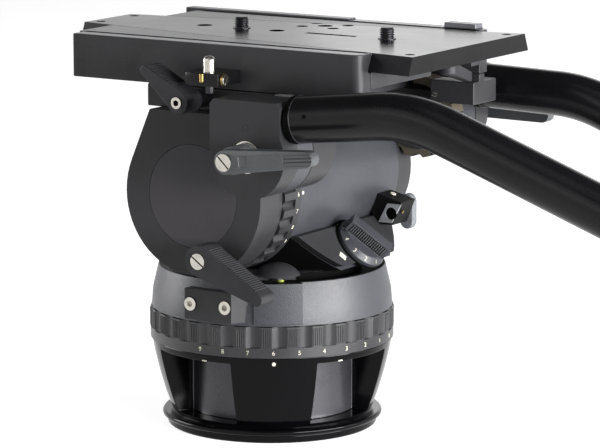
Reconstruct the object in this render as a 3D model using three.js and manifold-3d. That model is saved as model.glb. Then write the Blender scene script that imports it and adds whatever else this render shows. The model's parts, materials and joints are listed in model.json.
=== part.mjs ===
// Studio fluid head with a sliding wedge plate and two pan bars.
// Millimetres, +Z up, +X towards the operator, -Y the head's left side.
// The origin is on the pan axis, at the underside of the foot.

import * as THREE from 'three';
import { mergeVertices } from 'three/addons/utils/BufferGeometryUtils.js';
import { ConvexGeometry } from 'three/addons/geometries/ConvexGeometry.js';
import Module from 'manifold-3d';

const wasm = await Module();
wasm.setup();

// Clearances and cutting
const seam = 0.3; // between neighbouring pieces
const overrun = 4; // a cutter passes its face by this
const weld = 1e-4; // vertices closer than this are one

// Directions in degrees
const upright = 90;
const fullTurn = 360;

// Facets
const largeSides = 60;
const mediumSides = 36;
const smallSides = 20;
const arcSteps = 8;

// Foot and base casting
const footInset = 3.3; // inside the lip
const footHeight = 5;
const footEdge = 1.2;
const lipReach = 6.8; // past the bowl's foot
const lipHeight = 4.2;
const bowlDraft = 13.6; // from the bowl's foot to its top
const bowlReach = 4.6; // past the pan rim
const bowlHeight = 49.2;
const bowlFloor = 9;
const bowlCavityWall = 8; // inside the windows
const ringWall = 11; // from the spigot to the ring's grip
const spigotWall = 8;
const spigotHeight = 20.3;
const bowlBulgeShares = [[0, 0], [0.26, 0.34], [0.52, 0.62], [0.78, 0.85], [1, 1]];
const windowCount = 4;
const windowDepth = 10.5; // from the bowl's foot inwards
const windowAngle = 48;
const windowFirstAngle = -11.5;
const windowSill = 2.2;
const windowHead = 4.6;

// Pan spindle, bearings and fluid cartridge
const spindleRadius = 14;
const spindleFlangeRadius = 30;
const spindleFlange = 6;
const bearingWidth = 10;
const panBearingRadius = 26;
const panBearingSpacing = 20;
const panCartridgeHeight = 17;

// Pan drag ring
const ringReach = 5.5; // past the pan rim
const ringHeight = 20.4;
const ringNumberBand = 6.6;
const ringScallops = 30;
const scallopDepth = 2.2;
const landShare = 0.42;
const scallopShares = [0.55, 0.71, 0.87];
const scallopDepthShares = [0.72, 1, 0.72];

// Pan housing
const flankReach = 4.7; // past the rim
const shoulderReach = 3.8;
const panShoulderHeight = 12;
const rimRadius = 75.5;
const panHeight = 28.2;
const rimWidth = 3.5;
const dishDepth = 4;
const dishSlope = 4;
const panTopPlate = 8;
const panSkirt = 7;
const hubWall = 6;
const levelAngle = -54;
const levelRadius = 65;
const padReach = 5.5;
const padFirstAngle = -66;
const padLastAngle = -43;
const padInset = 1.5;
const padBase = 1.5;

// Spirit level
const hoodRadius = 16;
const hoodHeight = 11;
const hoodSlot = 3.4;
const hoodSlotDepth = 13;
const vialRadius = 4;
const vialOffset = 5; // from the hood's middle, outwards
const vialHeight = 2.6;

// Pan brake block on the left flank
const brakeBlockFrontX = -13.5;
const brakeBlockLength = 36;
const brakeBlockBevel = 7;
const brakeBlockBevelDepth = 12;
const brakeBlockReach = 8.5; // past the rim
const brakeBlockDepth = 16;
const brakeBlockRise = 2.6;
const brakeBlockHeight = 20;
const brakeScrewRadius = 4.4;
const brakeScrewHead = 0.9;
const brakeScrewDepth = 3.4;
const brakeScrewHalfSpacing = 13.4;
const hexSocketRadius = 2.2;
const hexSocketDepth = 3;
const hexSides = 6;

// Tilt housing: a drum with a sloping desk behind it
const tiltAxisRise = 57; // above the pan rim
const drumRadius = 52;
const drumNearY = -48;
const drumFarY = 77;
const drumNeckRadius = 42;
const drumNeck = 19;
const drumCavityRadius = 44;
const drumNearWall = 8;
const drumFarWall = 14;
const deskRise = 42; // elevation of the desk's face
const deskOffset = 15.5; // from the tilt axis to the desk's plane
const deskFoot = 3; // above the pan rim
const deskFrontX = -46;
const deskTrimRadius = 74;
const neckFootRadius = 60;

// Counterbalance cover, dial and springs
const coverThickness = 3.6;
const coverInset = 3;
const dialRadius = 18.6;
const dialFootHeight = 2.5;
const dialRimHeight = 3;
const dialFaceRadius = 14.6;
const dialAlongDesk = 21.5; // from the desk's crease to the dial's centre
const gripLength = 33;
const gripWidth = 11;
const gripHeight = 8;
const gripTurn = 31;
const gripTopShare = 0.78;
const springRadius = 32;
const springLength = 54;
const springGap = 4;
const cartridgeLength = 38;

// Tilt axle and bearings
const axleRadius = 12;
const tiltBearingRadius = 22;
const labelRecess = 1.3;

// Tilt drag ring
const tiltRingRadius = 53.5;
const tiltRingNumberBand = 6.7;
const tiltScallopDepth = 2;

// Cheeks
const cheekFaceY = 94;
const cheekRadius = 51.6;
const leftCheekThickness = 26;
const cheekFrontX = -33;
const cheekRearX = 58;
const labelRadius = 33.6;
const labelPlate = 1;

// Rosettes that carry the pan bars
const rosetteX = 64.6;
const rosetteRise = 35.6; // above the tilt axis
const lobeRadius = 26.8;
const rosetteThickness = 17.2;
const rosetteBoreRadius = 6;
const clampRodRadius = 5.6;
const farLobeRadius = 22;
const fluteRingRadius = 28;
const fluteRingWidth = 14;
const fluteCount = 12;
const fluteRadius = 5.2;

// Crown above the drum
const crownClearance = 2.5; // over the drum
const crownHeight = 14.5;
const crownFrontX = -42;
const crownRearX = 56;
const crownStep = 5.7;

// Platform, rails and side panels
const slabFrontX = -106;
const slabRearX = 118;
const slabThickness = 10.8;
const panelFrontX = -101;
const panelHeight = 28.4;
const panelThickness = 14.4;
const panelFaceY = 83.4;
const panelCorner = 6;
const stripFrontX = -118;
const stripRearX = 14;
const stripWidth = 9.4;
const stripDepth = 12;
const stripRise = 1;
const stopLength = 24;
const stopRise = 3.3;

// Wedge plate
const plateFrontX = -131.6;
const plateLength = 281.4;
const plateFrontHalf = 27.2;
const plateTaper = 9.105; // of each edge, in degrees
const plateThickness = 11.5;
const plateFlare = 4.9;
const plateGuideGap = 0.4;
const cornerHoleRadius = 3.2;
const cornerHoleEnd = 8;
const cornerHoleSide = 9;
const centreHoleRadius = 5.2;
const centreHoleXs = [-53, 4];
const clusterX = 17.2;
const clusterY = 39;
const clusterHoleRadius = 4;
const clusterHalfX = 12;
const clusterHalfY = 9.5;
const slotStartX = 27;
const slotLength = 38;
const slotWidth = 5;
const cameraScrewXs = [-23.5, 88.3];
const cameraScrewRadius = 4.75;
const cameraScrewProud = 7.6;
const cameraScrewHeadRadius = 8;
const cameraScrewHead = 3.5;

// Safety pin on the left side panel
const pinBlockFrontX = 5.2;
const pinBlockLength = 25;
const pinBlockReach = 26.6;
const pinBlockHeight = 8.4;
const pinBlockDrop = 15; // panel top to block top
const pinRadius = 4;
const pinProud = 10.3;
const pinBelow = 5;
const pinInset = 7;
const pinSide = 14;

// Plate clamp lever on the left of the crown
const clampLeverX = 2;
const clampLeverDrop = 6; // from the crown's shoulder to the shaft
const clampLeverFace = 114;
const clampLeverWidth = 18;
const clampHubRadius = 7.6;
const clampTipRadius = 3.2;
const clampTipX = -24;
const clampTipRise = 19;
const clampShaftRadius = 6;

// Tilt brake lever on the left cheek
const brakeLeverX = 16.2;
const brakeLeverDrop = 37.8; // below the tilt axis
const brakeLeverFace = 112;
const brakeLeverWidth = 16;
const brakeHubRadius = 10;
const brakeTipRadius = 4;
const brakeTipX = 60;
const brakeTipDrop = 58.6;

// Pan bar brackets
const bracketGap = 0.4;
const bracketThickness = 17.1;
const bracketRadius = 27;
const bracketBlockFront = 28; // ahead of the rosette's axis
const bracketBlockRear = 24;
const bracketBlockTop = 34.9;
const bracketEdge = 3;
const farBarTurn = 8; // the right bar hangs lower by this angle

// Pan bar tubes and grips
const tubeRadius = 15;
const tubeWall = 2.6;
const tubeStartX = 26.5; // behind the rosette's axis
const tubeRise = 23.6;
const tubeSlope = 6.4;
const tubeFall = 20;
const tubeFirstRun = 58;
const tubeBendRadius = 108;
const tubeSecondRun = 232;
const stubWall = 0.4;
const stubReach = 20;
const tubeSides = 18;
const gripRadius = 18;
const gripOverlap = 104;
const gripCap = 6;
const bendSteps = 7;

// Clamp levers of the pan bars
const barLeverHubRadius = 7.6;
const barLeverBossRadius = 9;
const barLeverReach = 26;
const barLeverTipX = 58.6;
const barLeverTurn = 6.2;
const farLeverTurn = -3;
const barLeverTipRadius = 5;
const barLeverWidth = 9;
const barWasherRadius = 10;
const barWasher = 1.6;

// Tilt lock at the drum's rear
const lockBlockY = 61;
const lockBlockLength = 18;
const lockBlockReach = 16;
const lockBlockTopRise = 14; // above the lever's middle, beside the drum
const lockBlockSlope = 10; // length of the sloping top
const lockNoseRise = 9.2;
const lockNoseReach = 9.2; // past the lever's face
const lockNoseLean = 6.5;
const lockBlockFall = 6.5;
const lockBlockDrop = 28; // from the tilt axis down to the block's middle
const lockLeverThickness = 6.4;
const lockLeverLength = 24;
const lockLeverWidth = 10;
const lockLeverOverhang = 2;

// Release latch under the platform's right rear
const latchLength = 33;
const latchStepLength = 23.5;
const latchInnerY = 61.6;
const latchStepY = 77.2;
const latchOuterY = 92;
const latchDrop = 5.2; // panel underside to the block's top
const latchHeight = 15;
const latchNeckLength = 8;
const latchNeckWidth = 7;
const thumbPivotEnd = 7;
const thumbPivotInset = 3.3;
const thumbReach = 25;
const thumbLift = 8;
const thumbThickness = 6;
const thumbPivotRadius = 3.4;
const thumbEndRadius = 6.5;
const notchLength = 26;
const notchInnerY = 6;
const notchOuterY = 58.6;

// Places along the platform
const plateRearX = plateFrontX + plateLength;
const latchFrontX = slabRearX - latchLength;
const latchStepX = slabRearX - latchStepLength;
const thumbPivotX = slabRearX - thumbPivotEnd;

// Radii that follow the pan rim
const bowlTopRadius = rimRadius + bowlReach;
const bowlFootRadius = bowlTopRadius - bowlDraft;
const lipRadius = bowlFootRadius + lipReach;
const footRadius = lipRadius - footInset;
const windowFloorRadius = bowlFootRadius - windowDepth;
const bowlCavityRadius = windowFloorRadius - bowlCavityWall;
const ringRadius = rimRadius + ringReach;
const panFlankRadius = rimRadius + flankReach;
const panShoulderRadius = rimRadius + shoulderReach;
const padRadius = rimRadius + padReach;
const padInnerRadius = rimRadius - padInset;
const brakeBlockFaceY = -rimRadius - brakeBlockReach;
const spigotRadius = ringRadius - ringWall;

// Levels worked out from the sizes above
const baseZ = footHeight + seam;
const lipTopZ = baseZ + lipHeight;
const ringBottomZ = lipTopZ + bowlHeight + seam;
const ringTopZ = ringBottomZ + ringHeight;
const panBottomZ = ringTopZ + seam;
const rimZ = panBottomZ + panHeight;
const dishZ = rimZ - dishDepth;
const tiltAxisZ = rimZ + tiltAxisRise;
const crownBottomZ = tiltAxisZ + drumRadius + crownClearance;
const crownShoulderZ = crownBottomZ + crownHeight;
const crownTopZ = crownShoulderZ + crownStep;
const slabBottomZ = crownTopZ + seam;
const slabTopZ = slabBottomZ + slabThickness;
const plateBottomZ = slabTopZ + seam;
const plateTopZ = plateBottomZ + plateThickness;
const panelBottomZ = crownShoulderZ + seam;
const panelTopZ = panelBottomZ + panelHeight;
const panelInnerY = panelFaceY - panelThickness;
const rosetteZ = tiltAxisZ + rosetteRise;
const leftCheekInnerY = -cheekFaceY + leftCheekThickness;
const rightCheekInnerY = drumFarY + seam + seam;
const rosetteFaceY = cheekFaceY + seam + rosetteThickness;
const bracketInnerY = rosetteFaceY + bracketGap;
const bracketFaceY = bracketInnerY + bracketThickness;
const tubeY = bracketFaceY - tubeRadius;
const drumMidY = (drumNearY + drumFarY) / 2;

// Turning and measuring
const radians = THREE.MathUtils.degToRad;
const axisX = new THREE.Vector3(1, 0, 0);
const axisY = new THREE.Vector3(0, 1, 0);
const axisZ = new THREE.Vector3(0, 0, 1);

// A closed three.js geometry as a solid that can be cut and joined
function solid(geometry) {
  const bare = geometry.clone();
  bare.deleteAttribute('normal');
  bare.deleteAttribute('uv');
  const merged = mergeVertices(bare, weld);
  return new wasm.Manifold(new wasm.Mesh({
    numProp: 3,
    vertProperties: new Float32Array(merged.attributes.position.array),
    triVerts: new Uint32Array(merged.index.array),
  }));
}

function join(...solids) {
  return solids.reduce((whole, piece) => whole.add(piece));
}

function cut(body, ...tools) {
  return tools.reduce((rest, tool) => rest.subtract(tool), body);
}

function block(x0, x1, y0, y1, z0, z1) {
  const box = new THREE.BoxGeometry(x1 - x0, y1 - y0, z1 - z0);
  return solid(box.translate((x0 + x1) / 2, (y0 + y1) / 2, (z0 + z1) / 2));
}

// Round bars along Z, Y and X
function barZ(x, y, radius, z0, z1, sides = smallSides) {
  const bar = new THREE.CylinderGeometry(radius, radius, z1 - z0, sides);
  return solid(bar.rotateX(Math.PI / 2).translate(x, y, (z0 + z1) / 2));
}

function barY(x, z, radius, y0, y1, sides = smallSides) {
  const bar = new THREE.CylinderGeometry(radius, radius, y1 - y0, sides);
  return solid(bar.translate(x, (y0 + y1) / 2, z));
}

function barX(y, z, radius, x0, x1, sides = smallSides) {
  const bar = new THREE.CylinderGeometry(radius, radius, x1 - x0, sides);
  return solid(bar.rotateZ(Math.PI / 2).translate((x0 + x1) / 2, y, z));
}

// A body turned about Z from an outline of [radius, height]
function turned(outline, sides = largeSides) {
  const points = outline.map(([radius, height]) => new THREE.Vector2(radius, height));
  return solid(new THREE.LatheGeometry(points, sides).rotateX(Math.PI / 2));
}

// A washer about Z or about a line along Y
function washerZ(inner, outer, z0, z1, sides = mediumSides) {
  return turned([[inner, z0], [outer, z0], [outer, z1], [inner, z1], [inner, z0]], sides);
}

function washerY(x, z, inner, outer, y0, y1, sides = mediumSides) {
  return cut(
    barY(x, z, outer, y0, y1, sides),
    barY(x, z, inner, y0 - overrun, y1 + overrun, smallSides),
  );
}

function outlineShape(points, hole) {
  const shape = new THREE.Shape(points.map(([a, b]) => new THREE.Vector2(a, b)));
  if (hole) {
    shape.holes.push(new THREE.Path(hole.map(([a, b]) => new THREE.Vector2(a, b))));
  }
  return shape;
}

function extrusion(points, depth, hole) {
  const settings = { depth, bevelEnabled: false };
  return new THREE.ExtrudeGeometry(outlineShape(points, hole), settings);
}

// Outlines of [x, y], [x, z] and [y, z] pushed along the third axis
function prismZ(points, z0, z1, hole) {
  return solid(extrusion(points, z1 - z0, hole).translate(0, 0, z0));
}

function prismY(points, y0, y1, hole) {
  return solid(extrusion(points, y1 - y0, hole).rotateX(Math.PI / 2).translate(0, y1, 0));
}

function prismX(points, x0, x1) {
  const turn = new THREE.Matrix4().makeBasis(axisY, axisZ, axisX);
  return solid(extrusion(points, x1 - x0).applyMatrix4(turn).translate(x0, 0, 0));
}

function hull(points) {
  return solid(new ConvexGeometry(points.map(([x, y, z]) => new THREE.Vector3(x, y, z))));
}

function arc(x, y, radius, from, to, steps = arcSteps) {
  const points = [];
  for (let step = 0; step <= steps; step += 1) {
    const angle = radians(from + ((to - from) * step) / steps);
    points.push([x + radius * Math.cos(angle), y + radius * Math.sin(angle)]);
  }
  return points;
}

function circle(x, y, radius, sides) {
  return arc(x, y, radius, 0, fullTurn - fullTurn / sides, sides - 1);
}

// An arm between two round ends, in the XZ plane, from y0 to y1
function armY(hub, hubRadius, tip, tipRadius, y0, y1) {
  const ends = [
    ...circle(hub[0], hub[1], hubRadius, smallSides),
    ...circle(tip[0], tip[1], tipRadius, smallSides),
  ];
  return hull([...ends.map(([x, z]) => [x, y0, z]), ...ends.map(([x, z]) => [x, y1, z])]);
}

// Turns a solid about a line along Y, from +X towards +Z
function swing(body, x, z, degrees) {
  const back = body.translate(-x, 0, -z);
  return back.rotate(0, -degrees, 0).translate(x, 0, z);
}

function mirrorY(body) {
  return body.mirror([0, 1, 0]);
}

// Finishes
const blackSatin = { color: 0x2b2b2c, roughness: 0.5, metalness: 0.1 };
const castGrey = { color: 0x46474a, roughness: 0.6, metalness: 0.2 };
const glossBlack = { color: 0x131314, roughness: 0.2, metalness: 0.1 };
const plateGrey = { color: 0x5a5a60, roughness: 0.45, metalness: 0.4 };
const brightNickel = { color: 0xd5d5d2, roughness: 0.2, metalness: 1 };
const darkSteel = { color: 0x3a3a3d, roughness: 0.35, metalness: 0.8 };
const bronze = { color: 0x8a8070, roughness: 0.4, metalness: 0.6 };
const mouldedBlack = { color: 0x252527, roughness: 0.55, metalness: 0 };
const rubberBlack = { color: 0x1a1a1b, roughness: 0.8, metalness: 0 };
const levelFluid = { color: 0xb8c452, roughness: 0.1, metalness: 0 };
const labelGrey = { color: 0x454245, roughness: 0.5, metalness: 0.1 };

const head = new THREE.Group();

function add(name, body, finish) {
  const form = body.getMesh();
  const geometry = new THREE.BufferGeometry();
  geometry.setAttribute('position', new THREE.BufferAttribute(form.vertProperties, 3));
  geometry.setIndex(new THREE.BufferAttribute(form.triVerts, 1));
  geometry.computeVertexNormals();
  const mesh = new THREE.Mesh(geometry, new THREE.MeshStandardMaterial(finish));
  mesh.name = name;
  head.add(mesh);
}

// Foot plate: the flat face that the head is bolted down by
function makeFootPlate() {
  return turned([
    [0, 0],
    [footRadius - footEdge, 0],
    [footRadius, footEdge],
    [footRadius, footHeight],
    [0, footHeight],
  ]);
}

// Base casting: a bowl with four windows and the spigot of the drag ring
function makeBaseCasting() {
  const bowlTopZ = lipTopZ + bowlHeight;
  const bowlSide = bowlBulgeShares.map(([rise, out]) => [
    bowlFootRadius + (bowlTopRadius - bowlFootRadius) * out,
    lipTopZ + bowlHeight * rise,
  ]);
  const spigotInner = spigotRadius - spigotWall;
  const spigotFloorZ = bowlTopZ - windowHead + seam;
  const floorZ = baseZ + bowlFloor;
  const bowl = turned([
    [0, baseZ],
    [lipRadius - footEdge, baseZ],
    [lipRadius, baseZ + footEdge],
    [lipRadius, lipTopZ - footEdge],
    [lipRadius - footEdge, lipTopZ],
    ...bowlSide,
    [spigotRadius, bowlTopZ],
    [spigotRadius, bowlTopZ + spigotHeight],
    [spigotInner, bowlTopZ + spigotHeight],
    [spigotInner, spigotFloorZ],
    [bowlCavityRadius, spigotFloorZ],
    [bowlCavityRadius, floorZ],
    [0, floorZ],
  ]);
  const half = windowAngle / 2;
  const tools = [];
  for (let index = 0; index < windowCount; index += 1) {
    const middle = windowFirstAngle + (fullTurn / windowCount) * index;
    const outer = arc(0, 0, bowlTopRadius + overrun, middle - half, middle + half);
    const inner = arc(0, 0, windowFloorRadius, middle + half, middle - half);
    tools.push(prismZ([...outer, ...inner], lipTopZ + windowSill, bowlTopZ - windowHead));
  }
  return cut(bowl, ...tools);
}

const spindleFloorZ = baseZ + bowlFloor + seam;
const hubFloorZ = ringBottomZ + seam;
const hubTopZ = dishZ - panTopPlate;

function makePanSpindle() {
  return turned([
    [0, spindleFloorZ],
    [spindleFlangeRadius, spindleFloorZ],
    [spindleFlangeRadius, spindleFloorZ + spindleFlange],
    [spindleRadius, spindleFloorZ + spindleFlange],
    [spindleRadius, hubTopZ - seam],
    [0, hubTopZ - seam],
  ], mediumSides);
}

// The two bearings stand in the hub's bore, one over the other
function makePanBearing(index) {
  const bottom = hubFloorZ + seam + panBearingSpacing * index;
  return washerZ(spindleRadius + seam, panBearingRadius, bottom, bottom + bearingWidth);
}

function makePanCartridge() {
  const inner = panBearingRadius + seam + hubWall + seam;
  const outer = spigotRadius - spigotWall - seam;
  return washerZ(inner, outer, hubFloorZ, hubFloorZ + panCartridgeHeight);
}

// A ring's grip outline: flat lands with a hollow between each two
function scallopedOutline(radius, depth, count) {
  const points = [];
  const pitch = fullTurn / count;
  for (let index = 0; index < count; index += 1) {
    const start = pitch * (index - landShare / 2);
    points.push(...arc(0, 0, radius, start, start + pitch * landShare, 1));
    scallopShares.forEach((share, order) => {
      const low = radius - depth * scallopDepthShares[order];
      points.push(...arc(0, 0, low, start + pitch * share, start + pitch * share, 1).slice(1));
    });
  }
  return points;
}

function makePanRing() {
  const bore = circle(0, 0, spigotRadius + seam, largeSides);
  const bandTopZ = ringBottomZ + ringNumberBand;
  const band = washerZ(spigotRadius + seam, ringRadius, ringBottomZ, bandTopZ, largeSides);
  const teeth = scallopedOutline(ringRadius, scallopDepth, ringScallops);
  return join(band, prismZ(teeth, bandTopZ - seam, ringTopZ, bore));
}

// Pan housing: the cone over the drag ring, with the pad of the spirit level
const levelX = levelRadius * Math.cos(radians(levelAngle));
const levelY = levelRadius * Math.sin(radians(levelAngle));

function makePanHousing() {
  const hubInner = panBearingRadius + seam;
  const hubOuter = hubInner + hubWall;
  const skirtTopZ = hubTopZ - seam;
  const cone = turned([
    [0, hubTopZ],
    [hubInner, hubTopZ],
    [hubInner, hubFloorZ],
    [hubOuter, hubFloorZ],
    [hubOuter, skirtTopZ],
    [rimRadius - panSkirt, skirtTopZ],
    [panFlankRadius - panSkirt, panBottomZ],
    [panFlankRadius, panBottomZ],
    [panShoulderRadius, panBottomZ + panShoulderHeight],
    [rimRadius, rimZ],
    [rimRadius - rimWidth, rimZ],
    [rimRadius - rimWidth - dishSlope, dishZ],
    [0, dishZ],
  ]);
  const pad = prismZ([
    ...arc(0, 0, padRadius, padFirstAngle, padLastAngle),
    ...arc(0, 0, padInnerRadius, padLastAngle, padFirstAngle),
  ], panBottomZ + padBase, rimZ);
  return join(cone, pad);
}

// The space of the tilt housing beside the spirit level, from a level upwards
function housingSide(z0) {
  const near = drumNearY - seam;
  return block(-rimRadius, rimRadius, near, rimRadius, z0, rimZ + hoodHeight + overrun);
}

// Spirit level: a vial under a half-round hood with a slot towards the camera side
function hoodTurn(body) {
  return body.rotate(0, 0, levelAngle).translate(levelX, levelY, 0);
}

function makeLevelHood() {
  const base = rimZ + seam;
  const radius = hoodRadius;
  const dome = turned([
    [0, base],
    ...arc(0, base, radius, 0, upright, arcSteps).map(([r, z]) => [
      r,
      base + ((z - base) * hoodHeight) / radius,
    ]).slice(0, -1),
    [0, base + hoodHeight],
  ], mediumSides);
  const slotInner = radius - hoodSlotDepth;
  const slot = block(slotInner, radius + overrun, -radius, radius, base, base + hoodSlot);
  const seat = barZ(vialOffset, 0, vialRadius + seam, base - overrun, base + hoodSlot);
  return cut(hoodTurn(cut(dome, slot, seat)), housingSide(dishZ));
}

function makeLevelVial() {
  const base = rimZ + seam;
  return hoodTurn(barZ(vialOffset, 0, vialRadius, base, base + vialHeight));
}

// Pan brake block with its two socket screws
const brakeBlockBottomZ = panBottomZ + brakeBlockRise;
const brakeBlockTopZ = brakeBlockBottomZ + brakeBlockHeight;
const brakeScrewZ = (brakeBlockBottomZ + brakeBlockTopZ) / 2;
const brakeBlockMidX = brakeBlockFrontX + brakeBlockLength / 2;

function brakeScrewX(side) {
  return brakeBlockMidX + side * brakeScrewHalfSpacing;
}

function makePanBrakeBlock() {
  const rearX = brakeBlockFrontX + brakeBlockLength;
  const outline = [
    [brakeBlockFrontX, brakeBlockFaceY],
    [rearX, brakeBlockFaceY],
    [rearX + brakeBlockBevel, brakeBlockFaceY + brakeBlockBevelDepth],
    [rearX + brakeBlockBevel, brakeBlockFaceY + brakeBlockDepth],
    [brakeBlockFrontX, brakeBlockFaceY + brakeBlockDepth],
  ];
  const body = prismZ(outline, brakeBlockBottomZ, brakeBlockTopZ);
  const flank = turned([
    [0, panBottomZ - overrun],
    [panFlankRadius + seam, panBottomZ - overrun],
    [panFlankRadius + seam, panBottomZ],
    [panShoulderRadius + seam, panBottomZ + panShoulderHeight],
    [rimRadius + seam, rimZ],
    [0, rimZ],
  ]);
  const holes = [-1, 1].map((side) => barY(
    brakeScrewX(side),
    brakeScrewZ,
    brakeScrewRadius + seam,
    brakeBlockFaceY - overrun,
    brakeBlockFaceY + brakeScrewDepth + seam,
  ));
  return cut(body, flank, ...holes);
}

function makeBrakeScrew(side) {
  const x = brakeScrewX(side);
  const face = brakeBlockFaceY - brakeScrewHead;
  return cut(
    barY(x, brakeScrewZ, brakeScrewRadius, face, brakeBlockFaceY + brakeScrewDepth),
    barY(x, brakeScrewZ, hexSocketRadius, face - overrun, face + hexSocketDepth, hexSides),
  );
}

// The desk: a flat face behind the drum that looks up at the operator
const deskCosine = Math.cos(radians(deskRise));
const deskSine = Math.sin(radians(deskRise));
const creaseTurn = THREE.MathUtils.radToDeg(Math.acos(deskOffset / drumRadius)) - deskRise;
const creaseX = drumRadius * Math.cos(radians(creaseTurn));
const creaseZ = tiltAxisZ - drumRadius * Math.sin(radians(creaseTurn));
const deskFootZ = rimZ + deskFoot;

// Height above the desk's plane is counted along its normal, from 0 on the plane
function deskXAt(z, lift) {
  const reach = deskOffset + lift - (z - tiltAxisZ) * deskSine;
  return reach / deskCosine;
}

// The desk's round edge runs down square to the desk, so the wall under it falls inwards
function deskTrim(radius) {
  const edge = circle(0, drumMidY, radius, largeSides);
  const level = ([x, y], lift) => {
    const z = tiltAxisZ + (deskOffset - x * deskCosine) / deskSine;
    return [x + lift * deskCosine, y, z + lift * deskSine];
  };
  return hull([
    ...edge.map((point) => level(point, drumRadius)),
    ...edge.map((point) => level(point, -drumRadius - drumRadius)),
  ]);
}

function makeTiltHousing() {
  const plane = -coverThickness - seam;
  const drum = barY(0, tiltAxisZ, drumRadius, drumNearY, drumFarY, largeSides);
  const chord = Math.sqrt(drumRadius ** 2 - deskFrontX ** 2);
  const deskOutline = [
    [deskFrontX, deskFootZ],
    [deskXAt(deskFootZ, plane), deskFootZ],
    [deskXAt(creaseZ, plane), creaseZ],
    [0, tiltAxisZ],
    [deskFrontX, tiltAxisZ - chord],
  ];
  const desk = prismY(deskOutline, drumNearY, drumFarY).intersect(deskTrim(deskTrimRadius));
  const foot = barZ(0, 0, neckFootRadius, dishZ + seam, deskFootZ + seam, largeSides);
  const footLimit = block(
    deskFrontX,
    neckFootRadius,
    drumNearY,
    neckFootRadius,
    dishZ,
    deskFootZ + overrun,
  );
  const neck = barY(0, tiltAxisZ, drumNeckRadius, drumNearY - drumNeck, drumFarY, largeSides);
  const cavity = barY(
    0,
    tiltAxisZ,
    drumCavityRadius,
    drumNearY + drumNearWall,
    drumFarY - drumFarWall,
    mediumSides,
  );
  const bore = barY(
    0,
    tiltAxisZ,
    tiltBearingRadius + seam,
    drumNearY - drumNeck - overrun,
    drumFarY + overrun,
    mediumSides,
  );
  const whole = join(drum, desk, foot.intersect(footLimit), neck);
  return cut(whole, cavity, bore);
}

// Counterbalance cover: a thin plate on the desk, cut to the same round
function makeCounterbalanceCover() {
  const low = deskFootZ + coverInset;
  const high = creaseZ - coverInset;
  const outline = [
    [deskXAt(low, -coverThickness), low],
    [deskXAt(low, 0), low],
    [deskXAt(high, 0), high],
    [deskXAt(high, -coverThickness), high],
  ];
  const plate = prismY(outline, drumNearY, drumFarY);
  const clear = barY(0, tiltAxisZ, drumRadius + seam, drumNearY - overrun, drumFarY + overrun);
  return cut(plate.intersect(deskTrim(deskTrimRadius)), clear);
}

// The dial is made lying flat and then laid on the desk, about its middle
const dialX = creaseX + dialAlongDesk * deskSine;
const dialZ = creaseZ - dialAlongDesk * deskCosine;

function layOnDesk(body) {
  return body.rotate(0, upright - deskRise, 0).translate(dialX, drumMidY, dialZ);
}

function makeCounterbalanceDial() {
  const rimZ0 = seam + dialFootHeight;
  const faceZ = rimZ0 + dialRimHeight;
  const disc = turned([
    [0, seam],
    [dialRadius, seam],
    [dialRadius, rimZ0],
    [dialFaceRadius, faceZ],
    [0, faceZ],
  ], mediumSides);
  const half = gripLength / 2;
  const foot = gripWidth / 2;
  const top = foot * gripTopShare;
  const bar = hull([
    [-half, -foot, faceZ - seam], [half, -foot, faceZ - seam],
    [half, foot, faceZ - seam], [-half, foot, faceZ - seam],
    [-half, -top, faceZ + gripHeight], [half, -top, faceZ + gripHeight],
    [half, top, faceZ + gripHeight], [-half, top, faceZ + gripHeight],
  ]).intersect(barZ(0, 0, dialRadius, 0, faceZ + gripHeight + overrun, mediumSides));
  return layOnDesk(join(disc, bar).rotate(0, 0, gripTurn));
}

// Inside the drum: axle, bearings, fluid cartridge and counterbalance springs
function makeTiltAxle() {
  const end = cheekFaceY - labelRecess - seam;
  return barY(0, tiltAxisZ, axleRadius, -end, end, mediumSides);
}

function makeTiltBearing(y0) {
  const inner = axleRadius + seam;
  return washerY(0, tiltAxisZ, inner, tiltBearingRadius, y0, y0 + bearingWidth);
}

const cartridgeY = drumNearY + drumNearWall + seam;

function makeTiltCartridge() {
  const inner = axleRadius + seam;
  const outer = drumCavityRadius - seam;
  return washerY(0, tiltAxisZ, inner, outer, cartridgeY, cartridgeY + cartridgeLength);
}

function makeSpringPack() {
  const y0 = cartridgeY + cartridgeLength + springGap;
  const inner = axleRadius + seam;
  return washerY(0, tiltAxisZ, inner, springRadius, y0, y0 + springLength);
}

// Tilt drag ring, turning on the drum's neck
function makeTiltRing() {
  const outerY = leftCheekInnerY + seam;
  const innerY = drumNearY - seam;
  const bandY = innerY - tiltRingNumberBand;
  const bore = circle(0, tiltAxisZ, drumNeckRadius + seam, largeSides);
  const teeth = scallopedOutline(tiltRingRadius, tiltScallopDepth, ringScallops)
    .map(([x, z]) => [x, z + tiltAxisZ]);
  const band = circle(0, tiltAxisZ, tiltRingRadius, largeSides);
  return join(prismY(teeth, outerY, bandY + seam, bore), prismY(band, bandY, innerY, bore));
}

// Cheeks: a disc at the tilt axis, a neck up to the crown and a lobe for the rosette
function tangentPoint(px, pz, radius) {
  const away = Math.hypot(px, pz - tiltAxisZ);
  const turn = Math.atan2(pz - tiltAxisZ, px) + Math.acos(radius / away);
  return [radius * Math.cos(turn), tiltAxisZ + radius * Math.sin(turn)];
}

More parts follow.
